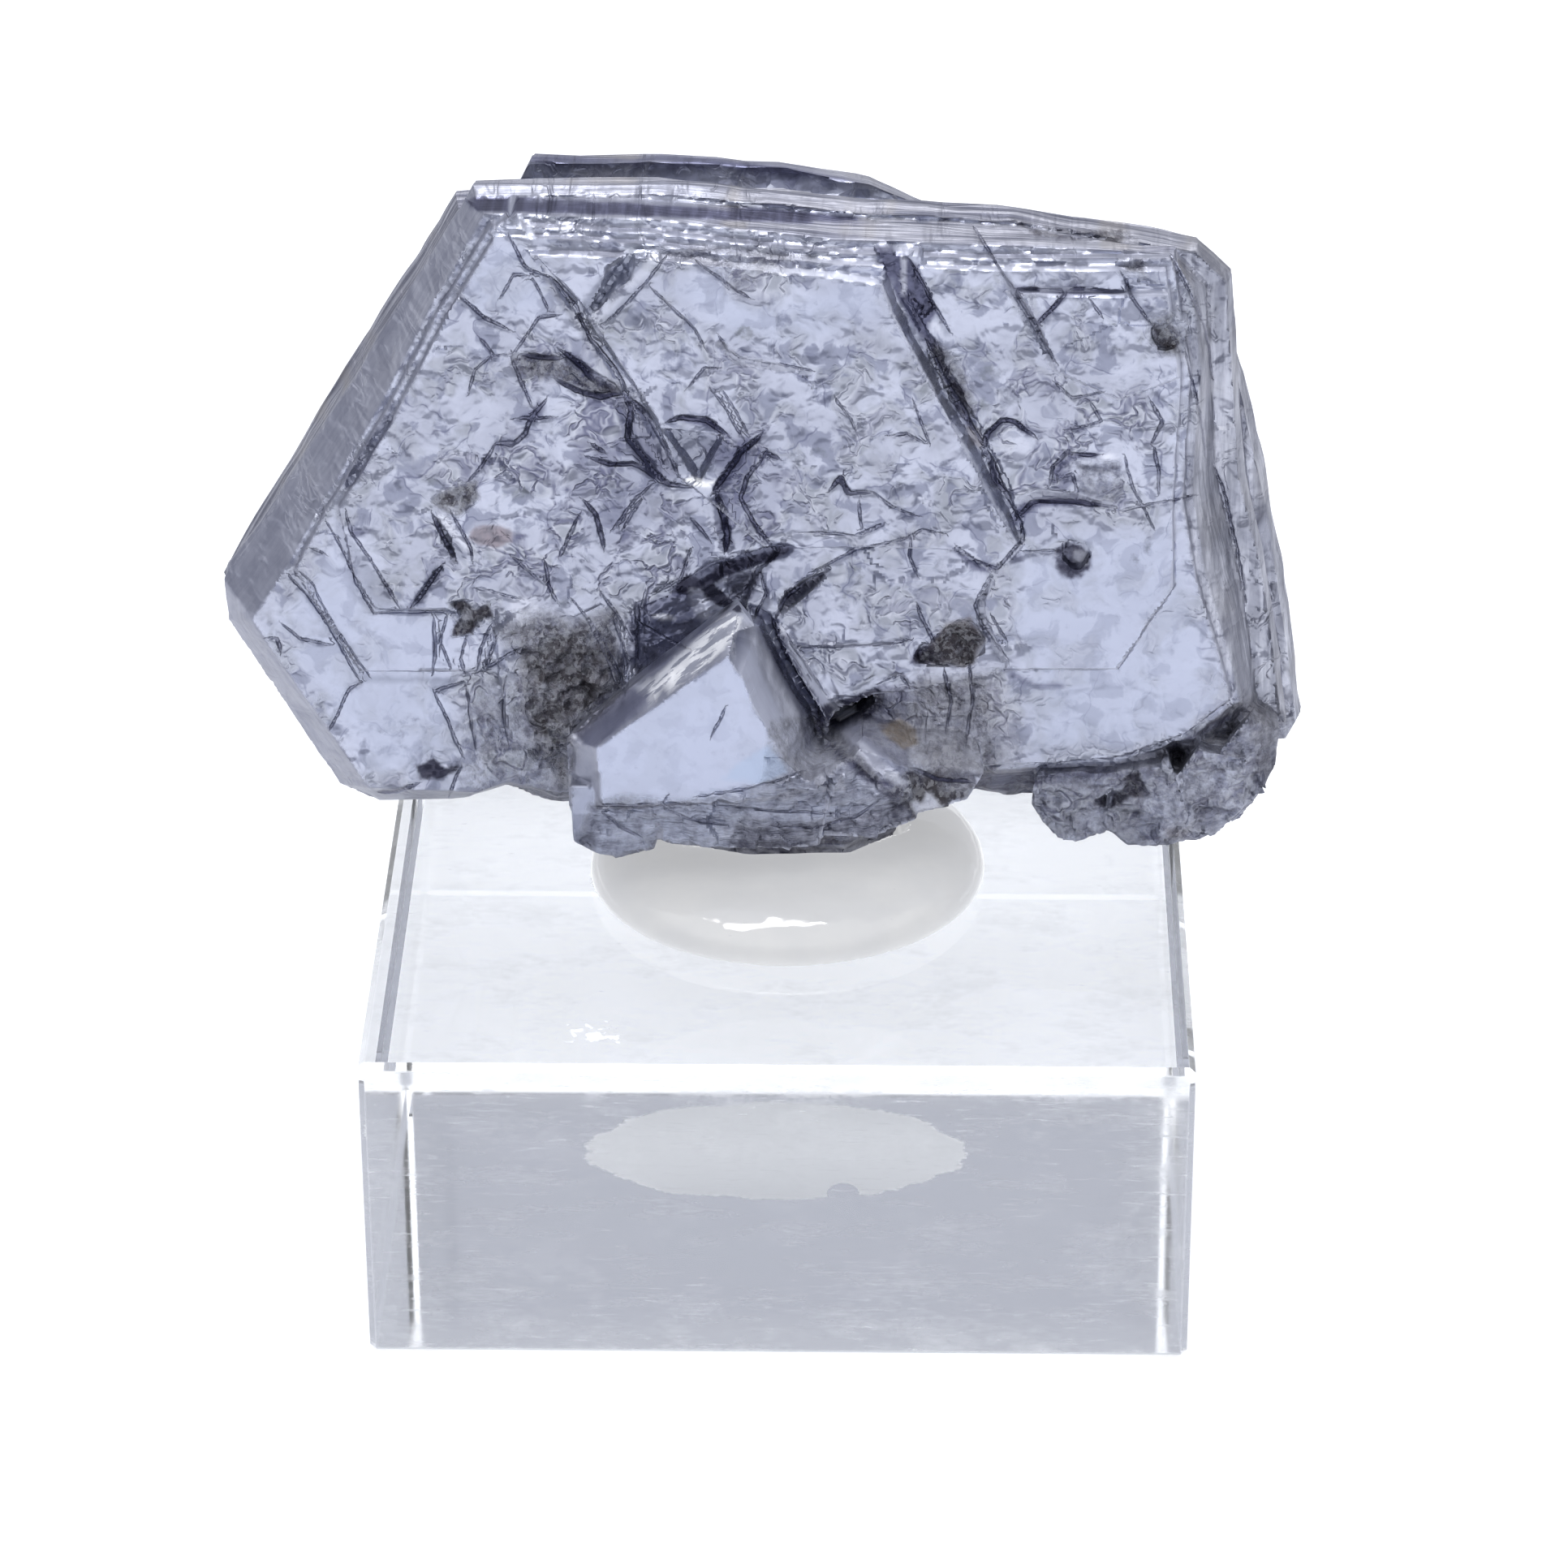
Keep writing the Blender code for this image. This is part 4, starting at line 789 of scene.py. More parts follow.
# Hollows of the solid that are shallower to look at: (share filled, floor n, outline in u and v).
FILLS = (
    (0.75, -0.1, (
        (-10.4, 28.2), (-8.4, 26.6), (-3.0, 18.0), (-4.6, 17.0), (-9.8, 25.8), (-11.2, 27.6))),
    (0.85, -0.1, ((-5.2, 20.3), (-1.6, 19.9), (-3.2, 16.8))),
    (1.0, -0.5, (
        (-6.5, 12.6), (-6.3, 8.6), (-3.3, 10.2), (-1.2, 11.6), (-0.6, 13.3), (0.8, 15.1),
        (-0.9, 14.9), (-2.5, 14.6), (-3.9, 14.0), (-4.8, 13.2))),
    (1.0, -0.12, (
        (-11.2, 8.4), (-11.4, 10.8), (-10.2, 12.1), (-8.0, 12.4), (-6.5, 12.9), (-5.9, 10.6),
        (-6.0, 8.0), (-8.4, 6.0), (-10.8, 6.2))),
    (1.0, -0.2, (
        (-1.6, 12.0), (-0.4, 12.1), (0.6, 10.2), (1.9, 7.8), (1.8, 6.0), (0.6, 7.4), (-0.8, 10.4))),
    (1.0, -0.2, (
        (5.0, 9.6), (5.6, 10.9), (6.6, 11.5), (7.4, 11.8), (8.2, 10.7), (8.4, 10.0), (6.8, 9.2))),
    (1.0, -0.45, (
        (10.6, 15.0), (11.1, 15.3), (12.0, 15.2), (12.4, 14.4), (12.0, 13.6), (11.2, 13.5),
        (10.6, 14.2))),
    (1.0, -0.12, ((13.9, 24.0), (14.9, 24.6), (15.7, 24.0), (15.5, 22.9), (14.5, 22.7))),
    (1.0, -0.3, ((-13.2, 12.1), (-12.4, 12.7), (-11.2, 12.2), (-11.4, 10.8), (-12.8, 10.6))),
    (1.0, -0.2, ((3.6, 26.9), (5.3, 26.8), (5.8, 25.8), (6.5, 24.6), (5.4, 23.6), (3.9, 26.0))),
    (0.85, -0.2, (
        (4.4, 26.2), (5.3, 25.0), (6.7, 22.5), (8.0, 20.0), (9.2, 17.6), (9.9, 15.2), (9.1, 14.7),
        (7.9, 17.2), (6.7, 19.6), (5.4, 22.1), (4.2, 24.7), (3.5, 26.2))),
    (1.0, -0.9, ((-14.8, 5.1), (-14.1, 5.8), (-12.8, 5.5), (-12.8, 4.6), (-14.3, 4.4))),
    (1.0, -0.02, ((-5.7, 27.2), (-4.5, 27.2), (-6.3, 23.8), (-8.3, 24.4))),
)

# Quiet parts of the face, where the foil-like crumpling fades: (feather, outline).
QUIET = (
    (0.8, ((-20.0, 11.0), (-17.5, 14.5), (-16.0, 12.0), (-12.8, 11.8), (-13.2, 5.8), (-16.0, 4.6))),
    (0.6, ((-12.4, 26.0), (-10.8, 27.4), (-9.2, 26.0), (-9.2, 24.4), (-11.6, 24.4))),
    (0.8, ((-4.4, 25.4), (-2.9, 26.0), (0.0, 24.6), (3.4, 26.2), (4.0, 24.4), (1.0, 23.4),
           (-2.0, 23.6))),
    (0.8, ((9.6, 14.8), (15.2, 15.6), (16.6, 10.8), (17.6, 8.0), (15.0, 6.0), (10.0, 5.8),
           (9.8, 9.2), (8.8, 11.4))),
)


def plate_coordinates(points):
    """World points in millimetres as (u, v, n)."""
    from_foot = points - PLATE_FOOT
    return np.stack([from_foot @ ACROSS, from_foot @ UP, from_foot @ OUT], axis=1)


def readings(uvn):
    """Where the line from the camera to each (u, v, n) crosses n = 0."""
    eye = plate_coordinates(CAMERA_PLACE[None])[0]
    reach = eye[2] / (eye[2] - uvn[:, 2])
    return eye[:2] + (uvn[:, :2] - eye[:2]) * reach[:, None]


def camera_axes():
    """The camera's directions forward, right and up, in the world."""
    pitch, yaw, roll = CAMERA_PITCH, CAMERA_YAW, CAMERA_ROLL
    level = math.cos(pitch)
    forward = np.array([math.sin(yaw) * level, math.cos(yaw) * level, -math.sin(pitch)])
    level_right = np.array([math.cos(yaw), -math.sin(yaw), 0.0])
    level_up = np.cross(level_right, forward)
    right = level_right * math.cos(roll) + level_up * math.sin(roll)
    up = level_up * math.cos(roll) - level_right * math.sin(roll)
    return forward, right, up


def placed(view, marks):
    """Readings, in mm, of points given in one of the enlarged views."""
    left, top, enlargement = VIEWS[view]
    forward, right, up = camera_axes()
    focal = LENS / SENSOR_WIDTH * PHOTO_SIZE
    eye = plate_coordinates(CAMERA_PLACE[None])[0]
    result = []
    for across, down in marks:
        from_middle = left + across / enlargement - PHOTO_SIZE / 2
        below_middle = top + down / enlargement - PHOTO_SIZE / 2
        ray = forward * focal + right * from_middle - up * below_middle
        reach = -eye[2] / (ray @ OUT)
        result.append((eye[0] + reach * (ray @ ACROSS), eye[1] + reach * (ray @ UP)))
    return result


def ramp(values, low, high):
    """0 below low, 1 above high, smooth between."""
    part = np.clip((values - low) / (high - low), 0.0, 1.0)
    return part * part * (3.0 - 2.0 * part)


def hashed(cells, seed):
    """A fixed random value from 0 to 1 for each whole-number cell."""
    mixed = np.full(len(cells), seed * 7919 + 17, dtype=np.uint32)
    for axis in range(cells.shape[1]):
        mixed ^= cells[:, axis].astype(np.int64).astype(np.uint32) * np.uint32(HASH_FACTORS[0])
        mixed ^= mixed >> np.uint32(15)
        mixed *= np.uint32(HASH_FACTORS[1])
        mixed ^= mixed >> np.uint32(13)
    return (mixed & np.uint32(0xFFFF)) / 65535.0


def smooth_noise(points, cell, seed):
    """Smooth random values from -1 to 1, over cells of that size."""
    scaled = points / cell
    whole = np.floor(scaled)
    part = scaled - whole
    blend = part * part * (3.0 - 2.0 * part)
    total = np.zeros(len(points))
    for corner in itertools.product((0, 1), repeat=points.shape[1]):
        weight = np.prod(np.where(np.array(corner) == 1, blend, 1.0 - blend), axis=1)
        total += weight * hashed(whole + np.array(corner), seed)
    return 2.0 * total - 1.0


def fractal(points, cell, seed, octaves=3):
    """Noise with finer noise on it, each octave half the size and half the height."""
    total = np.zeros(len(points))
    for octave in range(octaves):
        total += smooth_noise(points, cell / 2 ** octave, seed + octave) / 2 ** octave
    return total


def facets(points, cell, slope, seed):
    """Height of tilted facets over (u, v), one round a random centre in each cell."""
    scaled = points / cell
    whole = np.floor(scaled)
    nearest = np.full(len(points), np.inf)
    height = np.zeros(len(points))
    for step in itertools.product((-1, 0, 1), repeat=2):
        cells = whole + np.array(step)
        centre = cells + np.stack([hashed(cells, seed), hashed(cells, seed + 1)], axis=1)
        away = scaled - centre
        distance = np.hypot(away[:, 0], away[:, 1])
        tilt = np.stack([hashed(cells, seed + 2), hashed(cells, seed + 3)], axis=1) * 2.0 - 1.0
        closer = distance < nearest
        height = np.where(closer, (away * tilt).sum(axis=1) * slope * cell, height)
        nearest = np.where(closer, distance, nearest)
    return height


def line_field(points, lines, sharpness):
    """Distance to the nearest line, the same signed by its side, its half width there and its row.

    The half width closes to nothing at a line's ends, the later the sharper, and is zero away from
    every line, so that a shader finds the line where the distance is less than the half width.
    """
    distance = np.full(len(points), NO_LINE)
    signed = np.full(len(points), NO_LINE)
    width = np.zeros(len(points))
    row = np.zeros(len(points), dtype=int)
    for number, (half, line) in enumerate(lines):
        line = np.array(line)
        margin = LINE_REACH + half
        low, high = line.min(axis=0) - margin, line.max(axis=0) + margin
        index = np.nonzero(np.all((points > low) & (points < high), axis=1))[0]
        if not len(index):
            continue
        here = points[index]
        lengths = np.hypot(*(line[1:] - line[:-1]).T)
        before = np.concatenate([[0.0], np.cumsum(lengths)])
        for start, end, length, so_far in zip(line[:-1], line[1:], lengths, before):
            along = (end - start) / length
            offset = here - start
            place = np.clip(offset @ along, 0.0, length)
            gap = offset - place[:, None] * along
            away = np.hypot(gap[:, 0], gap[:, 1])
            part = (so_far + place) / before[-1]
            closing = np.sqrt(np.clip(np.minimum(part, 1.0 - part) * sharpness, 0.0, 1.0))
            side = np.sign(along[0] * offset[:, 1] - along[1] * offset[:, 0])
            better = away < distance[index]
            chosen = index[better]
            distance[chosen] = away[better]
            signed[chosen] = (away * side)[better]
            local = half * closing * ramp(margin - away, 0.0, 0.15)
            width[chosen] = local[better]
            row[chosen] = number
    return distance, signed, width, row


def inside(points, outline, feather):
    """1 inside the outline, 0 outside, passing through a half on it."""
    corners = np.array(outline)
    low = corners.min(axis=0) - feather
    high = corners.max(axis=0) + feather
    result = np.zeros(len(points))
    index = np.nonzero(np.all((points > low) & (points < high), axis=1))[0]
    here = points[index]
    crossings = np.zeros(len(index), dtype=int)
    distance = np.full(len(index), np.inf)
    for start, end in zip(corners, np.roll(corners, -1, axis=0)):
        along = end - start
        offset = here - start
        place = np.clip((offset @ along) / (along @ along), 0.0, 1.0)
        gap = offset - place[:, None] * along
        distance = np.minimum(distance, np.hypot(gap[:, 0], gap[:, 1]))
        spans = (start[1] > here[:, 1]) != (end[1] > here[:, 1])
        if along[1] != 0.0:
            cross_u = start[0] + along[0] * (here[:, 1] - start[1]) / along[1]
            crossings += spans & (here[:, 0] < cross_u)
    signed = np.where(crossings % 2 == 1, distance, -distance)
    result[index] = ramp(signed, -feather, feather)
    return result


def link(name, data):
    """A new object holding that data, in the scene."""
    target = bpy.data.objects.new(name, data)
    bpy.context.scene.collection.objects.link(target)
    return target


def add_camera():
    """The photograph's viewpoint."""
    forward, right, up = (Vector(axis) for axis in camera_axes())
    data = bpy.data.cameras.new("camera")
    data.sensor_fit = "HORIZONTAL"
    data.sensor_width = SENSOR_WIDTH
    data.lens = LENS
    data.clip_start = 0.01
    camera = link("camera", data)
    turn = Matrix((right, up, -forward)).transposed().to_4x4()
    camera.matrix_world = Matrix.Translation(Vector(CAMERA_PLACE) * MM) @ turn
    bpy.context.scene.camera = camera


class Graph:
    """Short names for building a material's nodes."""

    def __init__(self, tree):
        self.tree = tree

    def new(self, kind, **settings):
        node = self.tree.nodes.new("ShaderNode" + kind)
        for name, value in settings.items():
            setattr(node, name, value)
        return node

    def put(self, socket, value):
        if isinstance(value, bpy.types.NodeSocket):
            self.tree.links.new(value, socket)
        else:
            if not isinstance(value, (int, float)) and len(value) == 3 and socket.type == "RGBA":
                value = (*value, 1.0)
            socket.default_value = value

    def fill(self, node, values):
        """Puts each value on the node's input of that name or number."""
        for key, value in values.items():
            self.put(node.inputs[key], value)

    def calculate(self, operation, *values, clamp=False):
        node = self.new("Math", operation=operation, use_clamp=clamp)
        self.fill(node, dict(enumerate(values)))
        return node.outputs[0]

    plus = functools.partialmethod(calculate, "ADD")
    minus = functools.partialmethod(calculate, "SUBTRACT")
    times = functools.partialmethod(calculate, "MULTIPLY")
    times_plus = functools.partialmethod(calculate, "MULTIPLY_ADD")
    larger = functools.partialmethod(calculate, "MAXIMUM")
    smaller = functools.partialmethod(calculate, "MINIMUM")
    size = functools.partialmethod(calculate, "ABSOLUTE")

    def vector(self, operation, *values, output=0):
        node = self.new("VectorMath", operation=operation)
        self.fill(node, dict(enumerate(values)))
        return node.outputs[output]

    def scaled(self, vector, factor):
        node = self.new("VectorMath", operation="SCALE")
        self.fill(node, {0: vector, "Scale": factor})
        return node.outputs[0]

    def step(self, value, low, high):
        """0 below low and 1 above high, smooth between; the other way round where low is the larger."""
        node = self.new("MapRange", interpolation_type="SMOOTHSTEP")
        self.fill(node, {"Value": value, "From Min": low, "From Max": high})
        return node.outputs["Result"]

    def mix(self, factor, first, second):
        """Colours mixed by factor."""
        node = self.new("Mix", data_type="RGBA")
        self.fill(node, {"Factor": factor, 6: first, 7: second})
        return node.outputs[2]

    def blend(self, factor, first, second):
        """Plain numbers mixed by factor."""
        node = self.new("Mix")
        self.fill(node, {0: factor, 2: first, 3: second})
        return node.outputs[0]

    def noise(self, vector, scale, detail=3.0, roughness=0.5, flat=False, output="Fac"):
        """flat reads only the first two coordinates."""
        node = self.new("TexNoise", noise_dimensions="2D" if flat else "3D")
        self.fill(node, {"Vector": vector, "Scale": scale, "Detail": detail, "Roughness": roughness})
        return node.outputs[output]

    def cracks(self, vector, scale):
        """Distance to the edge of random flat cells."""
        node = self.new("TexVoronoi", voronoi_dimensions="2D", feature="DISTANCE_TO_EDGE")
        self.fill(node, {"Vector": vector, "Scale": scale})
        return node.outputs["Distance"]

    def cells(self, vector, scale):
        """A random value for each cell."""
        node = self.new("TexVoronoi")
        self.fill(node, {"Vector": vector, "Scale": scale})
        split = self.new("SeparateColor")
        self.put(split.inputs[0], node.outputs["Color"])
        return split.outputs[0]

    def attribute(self, name, factor=1.0):
        """A point attribute of the mesh, times the factor."""
        value = self.new("Attribute", attribute_name=name).outputs["Fac"]
        return value if factor == 1.0 else self.times(value, factor)

    def millimetres(self):
        """The object's own coordinates, in millimetres."""
        return self.scaled(self.new("TexCoord").outputs["Object"], 1.0 / MM)

    def squeezed(self, vector, scale, turn=(0.0, 0.0, 0.0)):
        """The vector turned, then scaled."""
        node = self.new("Mapping")
        self.fill(node, {"Vector": vector, "Rotation": turn, "Scale": scale})
        return node.outputs[0]

    def bump(self, height, strength):
        """Height is in millimetres."""
        node = self.new("Bump")
        self.fill(node, {"Strength": strength, "Distance": MM, "Height": height})
        return node.outputs[0]


def new_material(name, roughness, metallic=0.0):
    """(material, its Graph, its Principled shader)."""
    material = bpy.data.materials.new(name)
    material.use_nodes = True
    graph = Graph(material.node_tree)
    shader = material.node_tree.nodes["Principled BSDF"]
    graph.fill(shader, {"Roughness": roughness, "Metallic": metallic})
    return material, graph, shader


def add_floor():
    """A round white floor that glows a little, just under the block."""
    floor_mesh = bpy.data.meshes.new("floor")
    shape = bmesh.new()
    bmesh.ops.create_circle(shape, cap_ends=True, radius=FLOOR_RADIUS, segments=64)
    shape.to_mesh(floor_mesh)
    shape.free()
    floor = link("floor", floor_mesh)
    floor.location.z = -FLOOR_DROP
    material, graph, shader = new_material("floor", 0.9)
    graph.fill(shader, {
        "Base Color": FLOOR_COLOUR,
        "Specular IOR Level": 0.1,
        "Emission Color": FLOOR_GLOW,
        "Emission Strength": FLOOR_GLOW_STRENGTH,
    })
    floor_mesh.materials.append(material)


def add_dome():
    """A world that is bright overhead and grey round the horizon and below it."""
    world = bpy.data.worlds.new("studio")
    bpy.context.scene.world = world
    world.use_nodes = True
    graph = Graph(world.node_tree)
    split = graph.new("SeparateXYZ")
    graph.put(split.inputs["Vector"], graph.new("TexCoord").outputs["Generated"])
    gradient = graph.new("ValToRGB")
    graph.put(gradient.inputs["Fac"], split.outputs["Z"])
    stops = gradient.color_ramp.elements
    for position, _ in DOME_STOPS[1:-1]:
        stops.new(position)
    for stop, (position, colour) in zip(stops, DOME_STOPS):
        stop.position = position
        stop.color = (*colour, 1.0)
    background = world.node_tree.nodes["Background"]
    graph.fill(background, {"Color": gradient.outputs["Color"], "Strength": DOME_STRENGTH})


def add_lamp():
    """A long lamp whose reflection lies on the putty."""
    data = bpy.data.lights.new("softbox", "AREA")
    data.shape = "RECTANGLE"
    data.size = LAMP_SIZE[0] * MM
    data.size_y = LAMP_SIZE[1] * MM
    data.energy = LAMP_POWER
    lamp = link("softbox", data)
    away = Vector(LAMP_DIRECTION).normalized()
    lamp.location = (Vector(HIGHLIGHT_PLACE) + away * LAMP_DISTANCE) * MM
    lamp.rotation_euler = away.to_track_quat("Z", "Y").to_euler()
    lamp.visible_transmission = False
    lamp.visible_camera = False


def add_studio():
    add_floor()
    add_dome()
    add_lamp()
    bpy.context.scene.view_settings.view_transform = "Standard"


def bake_modifiers(target):
    """Replaces the object's mesh with its evaluated one."""
    graph = bpy.context.evaluated_depsgraph_get()
    baked = bpy.data.meshes.new_from_object(target.evaluated_get(graph))
    target.modifiers.clear()
    old = target.data
    target.data = baked
    bpy.data.meshes.remove(old)


def dense_copy(node, name, size):
    """The node's solid rebuilt as an even mesh of small faces."""
    shape = bmesh.new()
    shape.from_mesh(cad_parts[node].data)
    bmesh.ops.remove_doubles(shape, verts=shape.verts, dist=1e-6)
    mesh = bpy.data.meshes.new(name)
    shape.to_mesh(mesh)
    shape.free()
    dense = link(name, mesh)
    remesh = dense.modifiers.new("remesh", "REMESH")
    remesh.mode = "VOXEL"
    remesh.voxel_size = size * MM
    bake_modifiers(dense)
    return dense


def dress(target, material):
    """Gives the piece one material."""
    target.data.materials.clear()
    target.data.materials.append(material)


def get_vectors(items, name):
    """One row of three numbers for each item of a mesh's collection."""
    flat = np.empty(len(items) * 3, dtype=np.float32)
    items.foreach_get(name, flat)
    return flat.reshape(-1, 3).astype(np.float64)


def get_points(mesh):
    """Vertex places in millimetres."""
    return get_vectors(mesh.vertices, "co") / MM


def set_points(mesh, points):
    """Moves the vertices to places in millimetres."""
    mesh.vertices.foreach_set("co", (points * MM).astype(np.float32).ravel())
    mesh.update()


def solid_lookup(node):
    """For world points, the nearest points on the solid and its face normals there."""
    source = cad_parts[node].data
    source.calc_loop_triangles()
    corners = [vertex.co[:] for vertex in source.vertices]
    triangles = [tuple(triangle.vertices) for triangle in source.loop_triangles]
    tree = BVHTree.FromPolygons(corners, triangles)

    def look(points):
        places = np.empty_like(points)
        normals = np.empty_like(points)
        for index, point in enumerate(points * MM):
            place, normal, _, _ = tree.find_nearest(point)
            places[index] = place
            normals[index] = normal
        return places / MM, normals

    return look


def spots(points):
    """How strongly the soft grey spots cover the readings, with uneven edges."""
    total = np.zeros(len(points))
    uneven = 0.22 * fractal(points, 0.8, 140)
    for view, marks in SPOT_MARKS.items():
        for across, down, half_width, half_height, strength in marks:
            ends = ((across, down), (across + half_width, down), (across, down - half_height))
            centre, side, above = np.array(placed(view, ends))
            away = (points - centre) / np.array([side[0] - centre[0], above[1] - centre[1]])
            cover = ramp(1.0 - np.hypot(away[:, 0], away[:, 1]) + uneven, 0.0, 0.45)
            total = np.maximum(total, strength * cover)
    return total


def channels_at(reading, visible):
    """Every patch channel's amount at the readings, for the parts of the crystal in view."""
    totals = {name: np.zeros(len(reading)) for name in CHANNELS}
    read = [(feather, amounts, placed(view, marks)) for view, feather, amounts, marks in PATCH_MARKS]
    for feather, amounts, outline in (*PATCHES, *read):
        mask = inside(reading, outline, max(feather, LEAST_FEATHER)) * visible
        for name, amount in amounts.items():
            totals[name] = 1.0 - (1.0 - totals[name]) * (1.0 - mask * amount)
    quiet = np.zeros(len(reading))
    for feather, outline in QUIET:
        quiet = np.maximum(quiet, inside(reading, outline, feather) * visible)
    totals["quiet"] = quiet
    return totals


def crack_field(marks):
    """The line field of every crack, at the readings."""
    lines = [(half, placed(view, line)) for view, rows in CRACK_MARKS.items() for half, line in rows]
    return line_field(marks, lines, CRACK_SHARPNESS)


def band_field(marks):
    return line_field(marks, [(half, line) for half, _, line in BANDS], BAND_SHARPNESS)


def wobbled(reading):
    """Readings shifted by a little noise, so that drawn lines and outlines aren't straight."""
    shift = np.stack([fractal(reading, 0.9, 40), fractal(reading, 0.9, 50)], axis=1)
    fine = np.stack([smooth_noise(reading, 0.3, 60), smooth_noise(reading, 0.3, 61)], axis=1)
    return reading + 0.035 * shift + 0.012 * fine


def filled_places(uvn):
    """1 where a hollow has been filled, whatever way the solid faces there."""
    filled = np.zeros(len(uvn))
    for _, _, outline in FILLS:
        filled = np.maximum(filled, inside(uvn[:, :2], outline, FILL_FEATHER))
    return filled * ramp(uvn[:, 2], *FILLED_FROM_N) * (1.0 - ramp(uvn[:, 2], *FILLED_TO_N))


def crystal_fields(points, normals):
    """Everything the crystal's relief and its material need, at world points in millimetres.

    basal is 1 on faces along the sheets and 0 on their edges. front is the small front crystal, and
    front_side is all that stands out from the plate, except at the left. layered fades on the left
    bevel and towards the front.
    """
    uvn = plate_coordinates(points)
    u, v, n = uvn.T
    filled = filled_places(uvn)
    to_camera = CAMERA_PLACE - points
    to_camera /= np.linalg.norm(to_camera, axis=1)[:, None]
    seen = np.maximum((normals * to_camera).sum(axis=1), filled)
    visible = ramp(seen, *SEEN_FACING) * ramp(n, *PAINTED_N)
    marks = wobbled(readings(uvn))
    beyond = -u - LEFT_BEVEL_SLOPE * (LEFT_BEVEL_TOP - v)
    left_bevel = ramp(beyond, *LEFT_BEVEL_WIDTH) * ramp(n, *LEFT_BEVEL_N)
    return {
        **channels_at(marks, visible),
        "uvn": uvn,
        "marks": marks,
        "visible": visible,
        "basal": ramp(np.abs(np.maximum(normals @ OUT, filled)), *BASAL_FACING),
        "front": ramp(n, *FRONT_CRYSTAL_N) * visible,
        "front_side": ramp(n, *FRONT_SIDE_N) * ramp(u, *FRONT_SIDE_U),
        "layered": (1.0 - 0.85 * left_bevel) * (1.0 - ramp(n, *UNLAYERED_N)),
    }


def cut_depth(fields):
    """Grooves along the cracks, troughs along the bands, and sunken patches."""
    crack_gap, _, crack_half, _ = crack_field(fields["marks"])
    band_gap, _, band_half, _ = band_field(fields["marks"])
    groove = np.maximum(CRACK_SHRINK * crack_half - crack_gap + GROOVE_MARGIN, 0.0) * GROOVE_SLOPE
    groove = np.minimum(groove, DEEPEST_CUT) * (crack_half > 0.01)
    trough = np.clip(band_half - band_gap, 0.0, DEEPEST_CUT) * TROUGH_SLOPE
    return (groove + trough + fields["sink"]) * fields["visible"]


def foil_height(fields, bent):
    """Crumpled foil on the broad faces: large and small tilted facets, calmer where it's quiet."""
    crumple = (1.0 - 0.75 * fields["quiet"]) * (1.0 - 0.8 * fields["front"])
    large = facets(bent, *LARGE_FOIL, 11)
    small = facets(bent, *SMALL_FOIL, 21)
    grain = FOIL_GRAIN * fractal(fields["uvn"], 0.7, 31)
    return (large + small + grain) * crumple * fields["basal"]


def broken_height(fields, bent):
    """Ridges on rough ground, with pits where it's deep."""
    ragged = fractal(fields["uvn"], 0.9, 90, 4)
    ridges = facets(bent, *RIDGES, 151)
    broken = fields["rough"] * (RAGGED_HEIGHT * (ragged - 0.35) + ridges)
    return broken - PIT_DEPTH * fields["deep"] * np.abs(fractal(fields["uvn"], 0.7, 130, 3))


def layer_height(fields):
    """Fine layers along n on the sheets' edges."""
    along = fields["uvn"] * np.array([0.12, 0.12, 1.0])
    layers = THICK_LAYER * smooth_noise(along, 0.34, 101) + THIN_LAYER * smooth_noise(along, 0.16, 102)
    return layers * (1.0 - fields["basal"]) * fields["layered"]


def chip_height(fields):
    """Shallow chips out of the sheets' edges."""
    return CHIP_DEPTH * np.minimum(fractal(fields["uvn"], 1.6, 110), 0.0) * (1.0 - fields["basal"])


def fill_lift(uvn):
    """How far the floors of the filled hollows are raised along n."""
    raised = np.zeros(len(uvn))
    in_front = ramp(uvn[:, 2], *LIFTED_N)
    for share, floor, outline in FILLS:
        lift = np.maximum(floor - uvn[:, 2], 0.0) * share
        lift = lift * inside(uvn[:, :2], outline, FILL_FEATHER) * in_front
        raised = np.maximum(raised, lift)
    return raised


def raise_relief(crystal, look):
    """Cracks, pits, crumpled foil and layered edges, pushed into the dense mesh."""
    mesh = crystal.data
    normals = get_vectors(mesh.vertex_normals, "vector")
    points, solid_normals = look(get_points(mesh))
    fields = crystal_fields(points, solid_normals)
    uvn = fields["uvn"]
    bent = uvn[:, :2] + 0.35 * np.stack([fractal(uvn, 1.8, 70), fractal(uvn, 1.8, 80)], axis=1)
    height = foil_height(fields, bent) + broken_height(fields, bent)
    height = height + layer_height(fields) + chip_height(fields) - cut_depth(fields)
    set_points(mesh, points + normals * height[:, None] + OUT * fill_lift(uvn)[:, None])


def paint_fields(crystal, look):
    """Point attributes that the material reads."""
    mesh = crystal.data
    points = get_points(mesh)
    _, solid_normals = look(points)
    fields = crystal_fields(points, solid_normals)
    visible = fields["visible"]
    crack_gap, crack_side, crack_half, _ = crack_field(fields["marks"])
    _, band_side, band_half, band_row = band_field(fields["marks"])
    values = {
        "crack_side": crack_side,
        "crack_half": CRACK_SHRINK * crack_half * visible,
        "crack_gap": crack_gap,
        "band_side": band_side,
        "band_half": band_half * visible,
        "band_shade": np.array([darkness for _, darkness, _ in BANDS])[band_row],
        "edge": 1.0 - fields["basal"],
        "spot": spots(fields["marks"]) * visible,
    }
    for name in (*CHANNELS, "quiet", "front", "front_side", "layered"):
        if name not in RELIEF_CHANNELS:
            values[name] = fields[name]
    for name, amounts in values.items():
        layer = mesh.attributes.new(name, "FLOAT", "POINT")
        layer.data.foreach_set("value", amounts.astype(np.float32))


